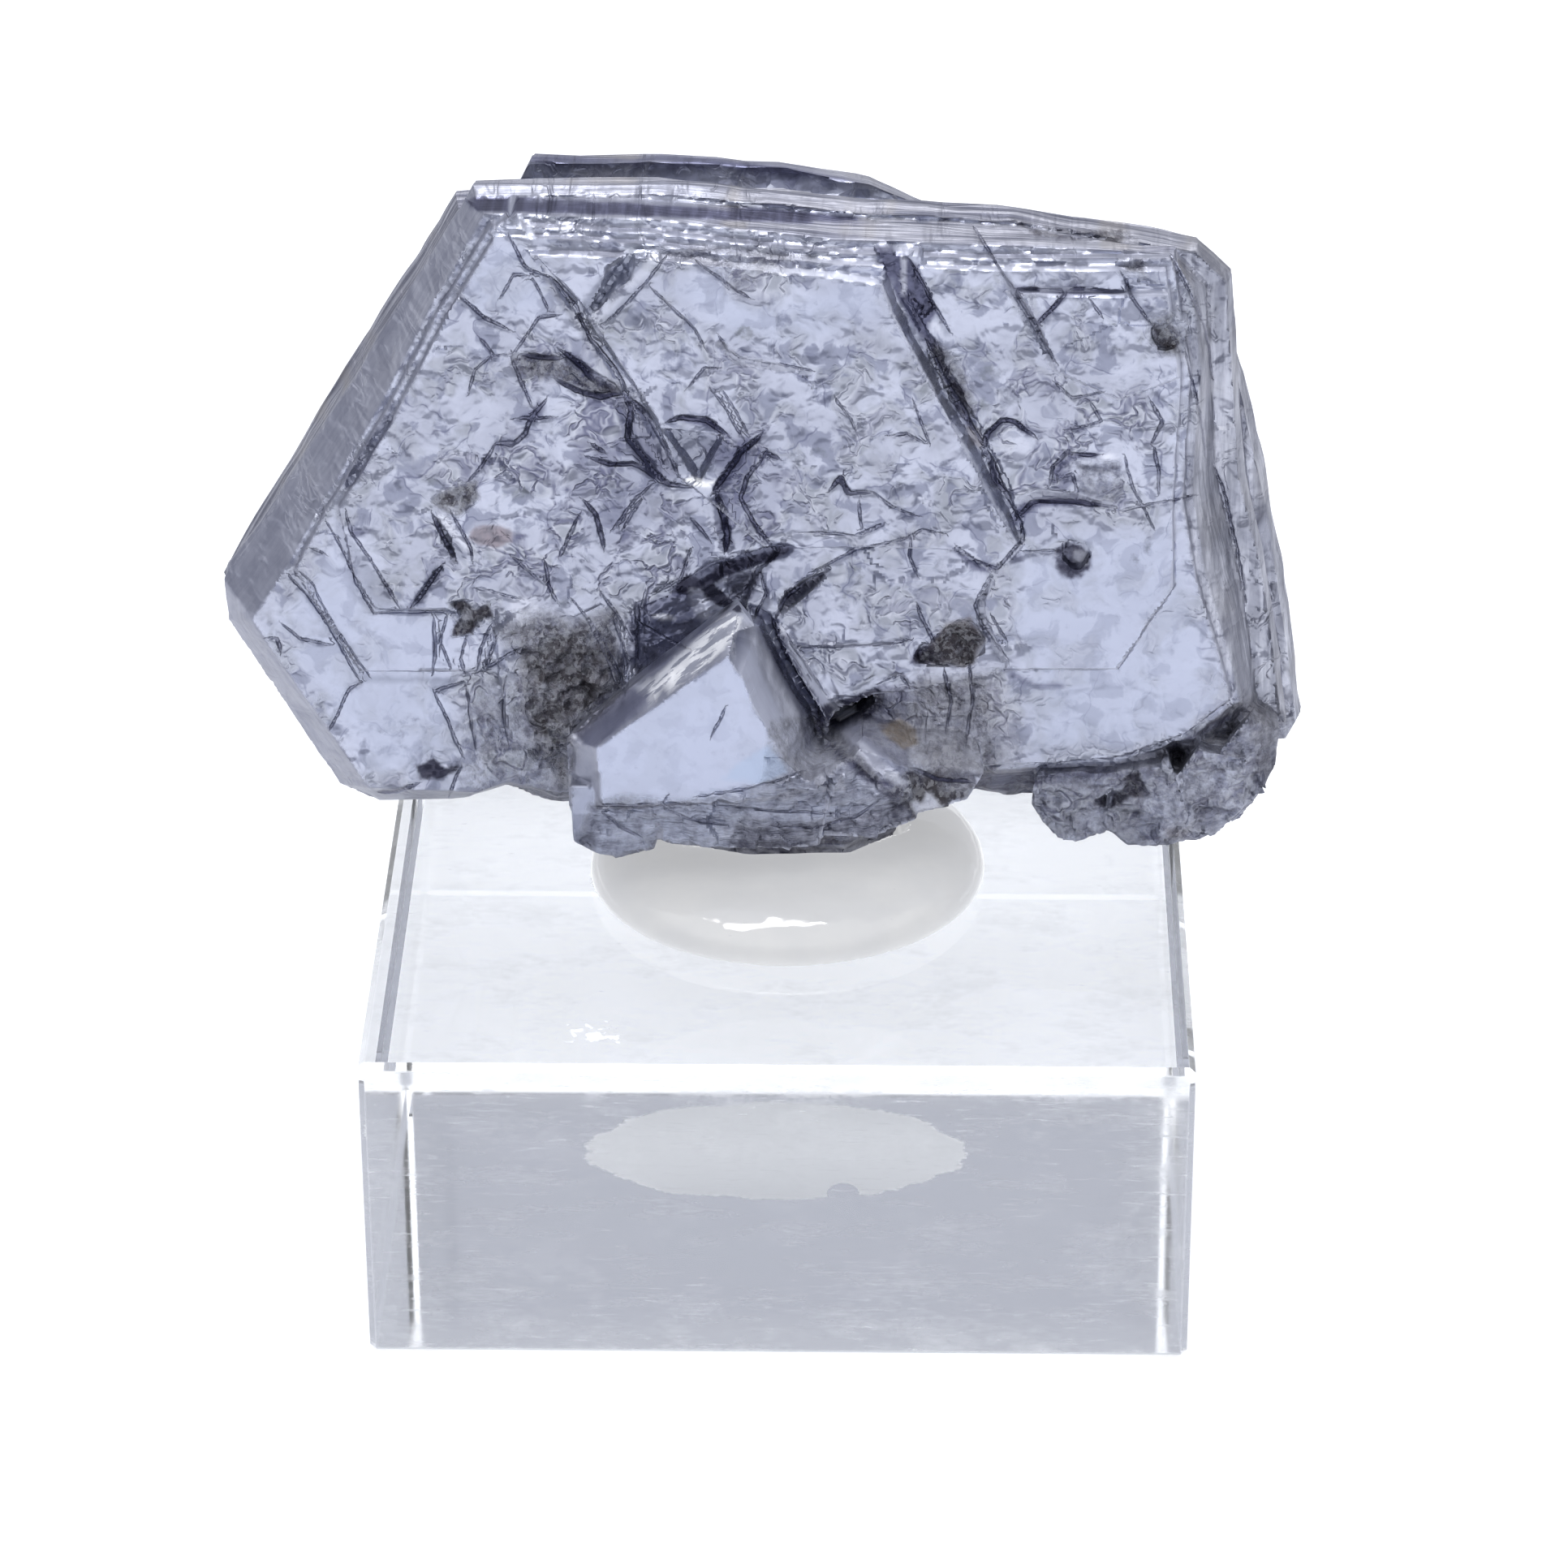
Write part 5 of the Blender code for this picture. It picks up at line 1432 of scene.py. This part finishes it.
def shared_patterns(graph):
    """Coordinates, attributes and noises that several parts of the crystal's material use.

    sheet lies along the plate's (u, v, n). bent keeps the patterns on it from looking regular.
    calm is high on quiet ground and on the front crystal, and lively is its opposite.
    """
    place = graph.millimetres()
    sheet = graph.squeezed(place, (1.0, 1.0, 1.0), (PLATE_LEAN - math.pi / 2, 0.0, 0.0))
    bend = graph.noise(sheet, 0.7, 2.0, flat=True, output="Color")
    bend = graph.vector("SUBTRACT", bend, (0.5, 0.5, 0.5))
    bent = graph.vector("ADD", sheet, graph.scaled(bend, 1.1))
    calm = graph.larger(graph.attribute("quiet", 0.72), graph.attribute("front"))
    return types.SimpleNamespace(
        place=place,
        sheet=sheet,
        bent=bent,
        calm=calm,
        lively=graph.minus(1.0, calm, clamp=True),
        rough=graph.attribute("rough"),
        crumple=graph.attribute("crumple"),
        strata=graph.attribute("strata"),
        striped=graph.attribute("layered"),
        edge=graph.attribute("edge"),
        jitter=graph.minus(graph.noise(sheet, 2.4, 3.0, 0.6, flat=True), 0.5),
        cloud=graph.noise(sheet, 0.33, 2.0, 0.6, flat=True),
        haze=graph.noise(bent, 0.5, 4.0, 0.58, flat=True),
        blotch=graph.noise(bent, 0.85, 4.0, 0.55, flat=True),
    )


def folds(graph, shared, ground, scale, width, gathering):
    """(ground with soft fold lines of painted shade on it and painted highlights along their rims, how
    dark the lines are): lines lie where gathering is high.
    """
    bumpy = graph.noise(shared.bent, scale, 2.0, 0.45, flat=True)
    gap = graph.size(graph.minus(bumpy, 0.5))
    where = graph.times(graph.step(gathering, 0.50, 0.66), shared.lively)
    line = graph.times(graph.minus(1.0, graph.step(gap, 0.0, width)), where)
    rim = graph.times(graph.step(gap, 1.7 * width, width), graph.times(where, 0.4))
    lit = graph.mix(rim, ground, FOLD_RIM_HIGHLIGHT)
    strength = graph.times_plus(shared.crumple, 0.4, 0.42)
    return graph.mix(graph.times(line, strength), lit, CREASE_SHADE_AND_VEIN_BLUE), line


def broad_faces(graph, shared):
    """(colour of the faces along the sheets, how strongly folds mark them).

    Pale lavender, clouded with olive grey and bluish grey, with soft spots, veins, and folds of painted
    shade with painted highlights on their rims.
    """
    colour = graph.mix(graph.step(shared.cloud, 0.35, 0.65), LAVENDER_DIM, LAVENDER)
    colour = graph.mix(shared.calm, colour, LAVENDER_CALM)
    clouded = graph.times_plus(shared.lively, 0.55, 0.12)
    haze_mask = graph.times(graph.step(shared.haze, 0.45, 0.62), clouded)
    colour = graph.mix(haze_mask, colour, OLIVE_GREY)
    blotch_edge = graph.times_plus(shared.crumple, -0.02, 0.525)
    blotch_mask = graph.step(shared.blotch, blotch_edge, graph.plus(blotch_edge, 0.10))
    colour = graph.mix(graph.times(blotch_mask, clouded), colour, BLUE_GREY)

    cover = graph.attribute("spot")
    spot_tone = graph.mix(graph.step(shared.cloud, 0.4, 0.6), SPOT_OLIVE, BLUE_GREY)
    spot = graph.times_plus(shared.jitter, 2.6, graph.times(cover, 1.6))
    spot = graph.times(graph.step(spot, 0.25, 1.35), graph.step(cover, 0.0, 0.3))
    colour = graph.mix(graph.times(spot, 0.8), colour, spot_tone)

    # Large folds and small ones, painted shade with highlit rims, gather where the face is crumpled.
    gathering = graph.times_plus(shared.crumple, 0.10, shared.haze)
    colour, fold = folds(graph, shared, colour, 0.42, 0.06, gathering)
    gathering = graph.minus(gathering, 0.03)
    colour, small_fold = folds(graph, shared, colour, 1.15, 0.08, gathering)

    vein = graph.minus(1.0, graph.step(graph.cracks(shared.bent, 0.42), 0.0, 0.022))
    vein = graph.times(vein, graph.times(graph.step(shared.blotch, 0.44, 0.56), shared.lively))
    colour = graph.mix(graph.times(vein, 0.6), colour, CREASE_SHADE_AND_VEIN_BLUE)
    return colour, graph.larger(fold, small_fold)


def sheet_edges(graph, shared):
    """(colour of the sheets' edges, their layers): greys with a few bright and tan layers, lighter on
    the sides that stand out at the front, as painted light.
    """
    lines = graph.noise(graph.squeezed(shared.sheet, (0.10, 0.10, 3.2)), 1.6, 3.0, 0.62)
    bright = graph.times(graph.step(lines, 0.64, 0.70), 0.7)
    tan = graph.times(graph.step(shared.cloud, 0.52, 0.66), 0.3)
    layered = graph.mix(graph.step(lines, 0.36, 0.64), *LAYER_TONES)
    layered = graph.mix(bright, layered, LAYER_BRIGHT)
    layered = graph.mix(tan, layered, LAYER_TAN)
    plain = graph.mix(graph.step(shared.blotch, 0.3, 0.7), *PLAIN_EDGE_TONES)
    plain = graph.mix(graph.attribute("front_side"), plain, FRONT_SIDE_LIGHTENED)
    return graph.mix(shared.striped, plain, layered), lines


def stains_and_shade(graph, shared, colour):
    """Bands of painted shade, stains, and dark patches that are partly painted shade in hollows, over
    the colour, with their limits broken up by noise.
    """
    band_gap = graph.times_plus(shared.jitter, 0.3, graph.size(graph.attribute("band_side")))
    band = graph.minus(graph.attribute("band_half"), band_gap)
    band = graph.times(graph.step(band, -0.05, 0.09), graph.attribute("band_shade"))
    colour = graph.mix(band, colour, BAND_SHADE)
    drawn = graph.squeezed(shared.sheet, (1.6, 0.16, 0.5), (0.0, 0.0, 0.16))
    streak_tone = graph.mix(graph.step(graph.noise(drawn, 1.3, 4.0, 0.65), 0.38, 0.64), *STREAK_TONES)
    stains = (
        ("grey", 0.9, WALL_GREY),
        ("streak", 0.6, streak_tone),
        ("slate", 0.95, SLATE),
        ("warm", 0.8, RUST),
        ("brown", 1.0, PINK_BROWN),
        ("tan", 1.0, TAN),
    )
    for name, strength, tone in stains:
        colour = graph.mix(graph.attribute(name, strength), colour, tone)
    dark = graph.times_plus(shared.jitter, 0.9, graph.attribute("dark"))
    return graph.mix(graph.times(graph.step(dark, 0.05, 0.95), 0.97), colour, BLACK_SPOT_AND_SHADE)


def rough_ground(graph, shared, colour):
    """(colour with grainy light and dark on the rough ground, the grain).

    The grain is drawn out along the layers where strata is high, as at the front crystal's foot.
    """
    place = shared.place
    drawn = graph.noise(graph.squeezed(place, (0.28, 0.6, 1.5)), 1.8, 4.0, 0.66)
    grain = graph.blend(shared.strata, graph.noise(place, 2.2, 5.0, 0.72), drawn)
    strong = graph.times(shared.rough, graph.times_plus(shared.strata, -0.5, 0.85))
    grit = graph.times(shared.rough, graph.times_plus(shared.strata, -0.6, 0.5))
    gathered = graph.noise(place, 0.7, 3.0, 0.6)
    shaken = graph.scaled(graph.noise(place, 3.0, 3.0, 0.7, output="Color"), 0.5)
    pick = graph.cells(graph.vector("ADD", place, shaken), 5.5)
    layers = (
        (graph.step(grain, 0.47, 0.62), graph.times(strong, 0.9), FLECK),
        (graph.step(grain, 0.50, 0.36), strong, PIT),
        (graph.step(gathered, 0.45, 0.60), graph.times(grit, 1.3), SOIL),
        (graph.step(pick, 0.62, 0.72), grit, LIGHT_GRIT),
        (graph.step(pick, 0.38, 0.30), grit, DARK_GRIT),
    )
    for where, strength, tone in layers:
        colour = graph.mix(graph.times(where, strength), colour, tone)
    return colour, grain


def lit_marks(graph, shared, colour):
    """Painted glints, bluish patches and pale patches over the colour; the pale ones are partly lighter
    flakes and partly painted highlights.
    """
    turned = graph.squeezed(shared.place, (1.0, 1.0, 1.0), (0.0, 0.7, 0.0))
    sparkle = graph.noise(graph.squeezed(turned, (0.3, 1.0, 1.8)), 2.6, 4.0, 0.65)
    glints = graph.mix(graph.step(sparkle, 0.42, 0.52), *GLINT_TONES)
    stains = (("painted_glint", 1.0, glints), ("blue", 0.7, SKY_BLUE), ("pale", 0.8, PALE_LAVENDER))
    for name, strength, tone in stains:
        colour = graph.mix(graph.attribute(name, strength), colour, tone)
    return colour


def cracked(graph, shared, colour):
    """(colour with painted shade along thin cracks, the cracks), sharp at their sides and fading in and
    out along them.
    """
    half = graph.attribute("crack_half")
    gap = graph.times_plus(shared.jitter, 0.10, graph.size(graph.attribute("crack_side")))
    crack = graph.step(graph.minus(half, gap), -0.05, 0.035)
    # The side changes sign halfway between two cracks too, where the plain gap isn't small.
    near = graph.step(graph.attribute("crack_gap"), 0.2, 0.12)
    crack = graph.times(crack, graph.larger(near, graph.step(half, 0.06, 0.09)))
    deep = graph.step(half, 0.02, 0.09)
    fade = graph.times_plus(graph.step(shared.cloud, 0.35, 0.6), 0.2, 0.3)
    mask = graph.times(crack, graph.times_plus(deep, 0.4, fade), clamp=True)
    return graph.mix(mask, colour, graph.mix(deep, SHALLOW_CRACK_SHADE, DEEP_CRACK_SHADE)), crack


def fine_relief(graph, shared, fold, grain, lines, crack):
    """Relief too fine for the mesh."""
    fine = graph.noise(shared.bent, 0.9, 2.0, 0.5, flat=True)
    height = graph.times(fine, graph.times_plus(shared.lively, 0.2, 0.02))
    height = graph.plus(height, graph.times(fold, -0.06))
    height = graph.plus(height, graph.times(grain, graph.times(shared.rough, 0.35)))
    ribs = graph.times(shared.edge, graph.times_plus(shared.striped, 0.13, 0.02))
    height = graph.plus(height, graph.times(lines, ribs))
    return graph.bump(graph.times_plus(crack, -0.08, height), 0.8)


def crystal_material():
    """Metallic lavender-grey sheets: bright on the broad faces, darker and layered at their edges."""
    material, graph, shader = new_material("molybdenite", 0.3, METALLIC)
    shared = shared_patterns(graph)
    faces, fold = broad_faces(graph, shared)
    edges, lines = sheet_edges(graph, shared)
    colour = stains_and_shade(graph, shared, graph.mix(shared.edge, faces, edges))
    colour, grain = rough_ground(graph, shared, colour)
    colour, crack = cracked(graph, shared, lit_marks(graph, shared, colour))
    # On the sides that stand out at the front, the lower metallic and the lighter colour are painted
    # light, so they don't show the dark horizon.
    lightened_side = graph.times(graph.attribute("front_side"), shared.edge)
    roughness = graph.times_plus(shared.edge, 0.14, 0.26)
    roughness = graph.times_plus(graph.times(shared.edge, shared.striped), 0.14, roughness)
    graph.fill(shader, {
        "Base Color": colour,
        "Metallic": graph.times_plus(lightened_side, -0.55, METALLIC),
        "Roughness": graph.times_plus(shared.rough, 0.1, roughness),
        "Normal": fine_relief(graph, shared, fold, grain, lines, crack),
    })
    return material


def thin_out(crystal):
    """Joins faces down to the triangle limit, more of them at the back than on the painted front."""
    easy = crystal.vertex_groups.new(name="easy")
    depth = plate_coordinates(get_points(crystal.data))[:, 2]
    facing = get_vectors(crystal.data.vertex_normals, "vector") @ OUT
    in_front = (facing > 0.1) & (depth > FRONT_DEPTH)
    easy.add(np.nonzero(~in_front)[0].tolist(), BACK_THINNING, "REPLACE")
    easy.add(np.nonzero(in_front)[0].tolist(), FRONT_THINNING, "REPLACE")
    thin = crystal.modifiers.new("thin", "DECIMATE")
    thin.vertex_group = easy.name
    thin.vertex_group_factor = THINNING_FACTOR
    thin.ratio = min(1.0, MOST_TRIANGLES / (2 * len(crystal.data.polygons)))
    bake_modifiers(crystal)


def make_crystal():
    look = solid_lookup("molybdenite")
    crystal = dense_copy("molybdenite", "crystal", REMESH_SIZE)
    raise_relief(crystal, look)
    thin_out(crystal)
    paint_fields(crystal, look)
    crystal.data.shade_smooth()
    crystal.data.set_sharp_from_angle(angle=SHARP_ANGLE)
    dress(crystal, crystal_material())
    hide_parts("molybdenite")
    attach(crystal, "root")


def ellipse(graph, place, centre, radii):
    """1 at the centre, 0 on the ellipse and below 0 outside it, at any height."""
    moved = graph.vector("SUBTRACT", place, (*centre, 0.0))
    shrunk = graph.vector("DIVIDE", moved, (*radii, 1000.0))
    return graph.minus(1.0, graph.vector("LENGTH", shrunk, output="Value"))


def underside_marks(graph, place, height):
    """What shows through from under the block: smears, scuffs and an oval patch with a notch out of it.
    """
    wavy = graph.minus(graph.noise(place, 0.5, 4.0, 0.6), 0.5)
    patch = ellipse(graph, place, *UNDERSIDE_PATCH)
    patch = graph.minus(patch, graph.larger(ellipse(graph, place, *PATCH_NOTCH), 0.0))
    patch = graph.step(graph.times_plus(wavy, 0.25, patch), 0.0, 0.04)
    smear = graph.noise(graph.squeezed(place, (0.6, 1.0, 1.0)), 0.35, 6.0, 0.65)
    smear = graph.times(graph.step(smear, 0.45, 0.75), SMEAR_STRENGTH)
    scuff = graph.noise(graph.squeezed(place, (0.25, 1.0, 1.0), (0.0, 0.0, 0.5)), 3.0, 6.0, 0.75)
    scuff = graph.times(graph.step(scuff, 0.62, 0.74), SCUFF_STRENGTH)
    residue = graph.larger(graph.larger(smear, scuff), graph.times(patch, PATCH_STRENGTH))
    return graph.times(residue, graph.step(height, 0.05, 0.0))


def top_chips(graph, place, height):
    """A few small chips and specks near the top's front edge."""
    area = ellipse(graph, place, *CHIPPED_AREA)
    grain = graph.noise(place, 2.2, 4.0, 0.6)
    chips = graph.step(graph.plus(grain, graph.times(area, 0.25)), 0.66, 0.70)
    chips = graph.times(chips, graph.step(area, 0.0, 0.1))
    return graph.times(chips, graph.step(height, BLOCK_HEIGHT - 0.05, BLOCK_HEIGHT - 0.01))


def side_haze(graph, place, off):
    """Haze on the upright faces, mostly towards their edges, with fine scratches.

    off holds how far each point lies outside the block along x, y and z, so below 0 inside it.
    """
    upright = graph.step(graph.larger(off[0], off[1]), -0.05, -0.01)
    from_edge = graph.larger(graph.smaller(off[0], off[1]), off[2])
    cloudy = graph.noise(graph.squeezed(place, (0.6, 0.6, 1.0)), 0.55, 6.0, 0.72)
    scratches = graph.noise(graph.squeezed(place, (0.25, 0.25, 2.6), (0.0, 0.2, 0.0)), 2.6, 6.0, 0.78)
    haze = graph.times(graph.step(from_edge, -3.0, -0.3), EDGE_HAZE)
    haze = graph.times_plus(graph.step(cloudy, 0.46, 0.66), CLOUDY_HAZE, haze)
    haze = graph.times_plus(graph.step(scratches, 0.56, 0.68), SCRATCH_STRENGTH, haze)
    outer = graph.times_plus(graph.step(from_edge, -6.0, -1.0), 0.65, 0.35)
    return graph.times(haze, graph.times(upright, outer))


def acrylic_material():
    """Clear acrylic: scuffed and smeared below, chipped on top, its upright faces hazy and scratched.

    The chamfers carry a faint painted glow, standing in for the light caught inside the block.
    """
    material, graph, shader = new_material("acrylic", 0.0)
    place = graph.millimetres()
    split = graph.new("SeparateXYZ")
    graph.put(split.inputs[0], place)
    height = split.outputs["Z"]
    from_middle = graph.size(graph.minus(height, BLOCK_HEIGHT / 2))
    off = (
        graph.minus(graph.size(split.outputs["X"]), BLOCK_SIDE / 2),
        graph.minus(graph.size(split.outputs["Y"]), BLOCK_SIDE / 2),
        graph.minus(from_middle, BLOCK_HEIGHT / 2),
    )
    cover = graph.larger(underside_marks(graph, place, height), top_chips(graph, place, height))
    cover = graph.larger(cover, side_haze(graph, place, off))
    over_edge = graph.larger(graph.plus(off[0], off[2]), graph.plus(off[1], off[2]))
    over_edge = graph.larger(over_edge, graph.plus(off[0], off[1]))
    chamfer = graph.step(over_edge, -BLOCK_CHAMFER - 0.08, -BLOCK_CHAMFER - 0.02)
    graph.fill(shader, {
        "IOR": ACRYLIC_IOR,
        "Base Color": graph.mix(cover, CLEAR, RESIDUE),
        "Transmission Weight": graph.minus(1.0, cover),
        "Roughness": graph.times(cover, 0.6),
        "Emission Color": PAINTED_CHAMFER_GLOW,
        "Emission Strength": graph.times(chamfer, PAINTED_CHAMFER_GLOW_STRENGTH),
    })
    return material


def putty_material():
    """Milky mounting putty: glossy, slightly cloudy, with a few dark specks, and a painted glow that
    stands in for the light reaching it through the block.
    """
    material, graph, shader = new_material("putty", 0.07)
    place = graph.millimetres()
    cloudy = graph.noise(place, 0.35, 3.0, 0.5)
    colour = graph.mix(graph.step(cloudy, 0.35, 0.65), *PUTTY_TONES)
    specks = graph.step(graph.noise(place, 2.6, 2.0, 0.5), 0.74, 0.77)
    dents = graph.noise(place, 0.5, 2.0, 0.4)
    graph.fill(shader, {
        "Base Color": graph.mix(graph.times(specks, 0.6), colour, PUTTY_SPECK),
        "Subsurface Weight": 0.8,
        "Subsurface Radius": (1.0, 1.0, 1.0),
        "Subsurface Scale": 3.0 * MM,
        "IOR": 1.45,
        "Emission Color": PUTTY_PAINTED_GLOW,
        "Emission Strength": PUTTY_PAINTED_GLOW_STRENGTH,
        "Normal": graph.bump(graph.times(dents, 0.25), 0.6),
    })
    return material


def make_putty():
    """The putty's rings, rounded over to one smooth drop."""
    putty = dense_copy("putty", "putty_pad", PUTTY_REMESH)
    points = get_points(putty.data)
    low, high = points[:, 2].min(), points[:, 2].max()
    across = points[:, :2] - PUTTY_CENTRE
    reach = np.hypot(across[:, 0], across[:, 1]) / PUTTY_RADIUS
    rise = (points[:, 2] - low) / (high - low)
    fullness = (reach ** PUTTY_ROUNDNESS + rise ** PUTTY_ROUNDNESS) ** (1.0 / PUTTY_ROUNDNESS)
    outer = (fullness > PUTTY_OUTER) & ((rise > PUTTY_LOW) | (reach > PUTTY_RIM))
    grow = np.where(outer, 1.0 / fullness, 1.0)
    points[:, :2] = PUTTY_CENTRE + across * grow[:, None]
    points[:, 2] = low + (points[:, 2] - low) * grow
    set_points(putty.data, points)
    putty.data.shade_smooth()
    dress(putty, putty_material())
    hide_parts("putty")
    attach(putty, "root")


def finish_block():
    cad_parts["base_block"].material_slots[0].material = acrylic_material()


add_camera()
add_studio()
make_crystal()
make_putty()
finish_block()
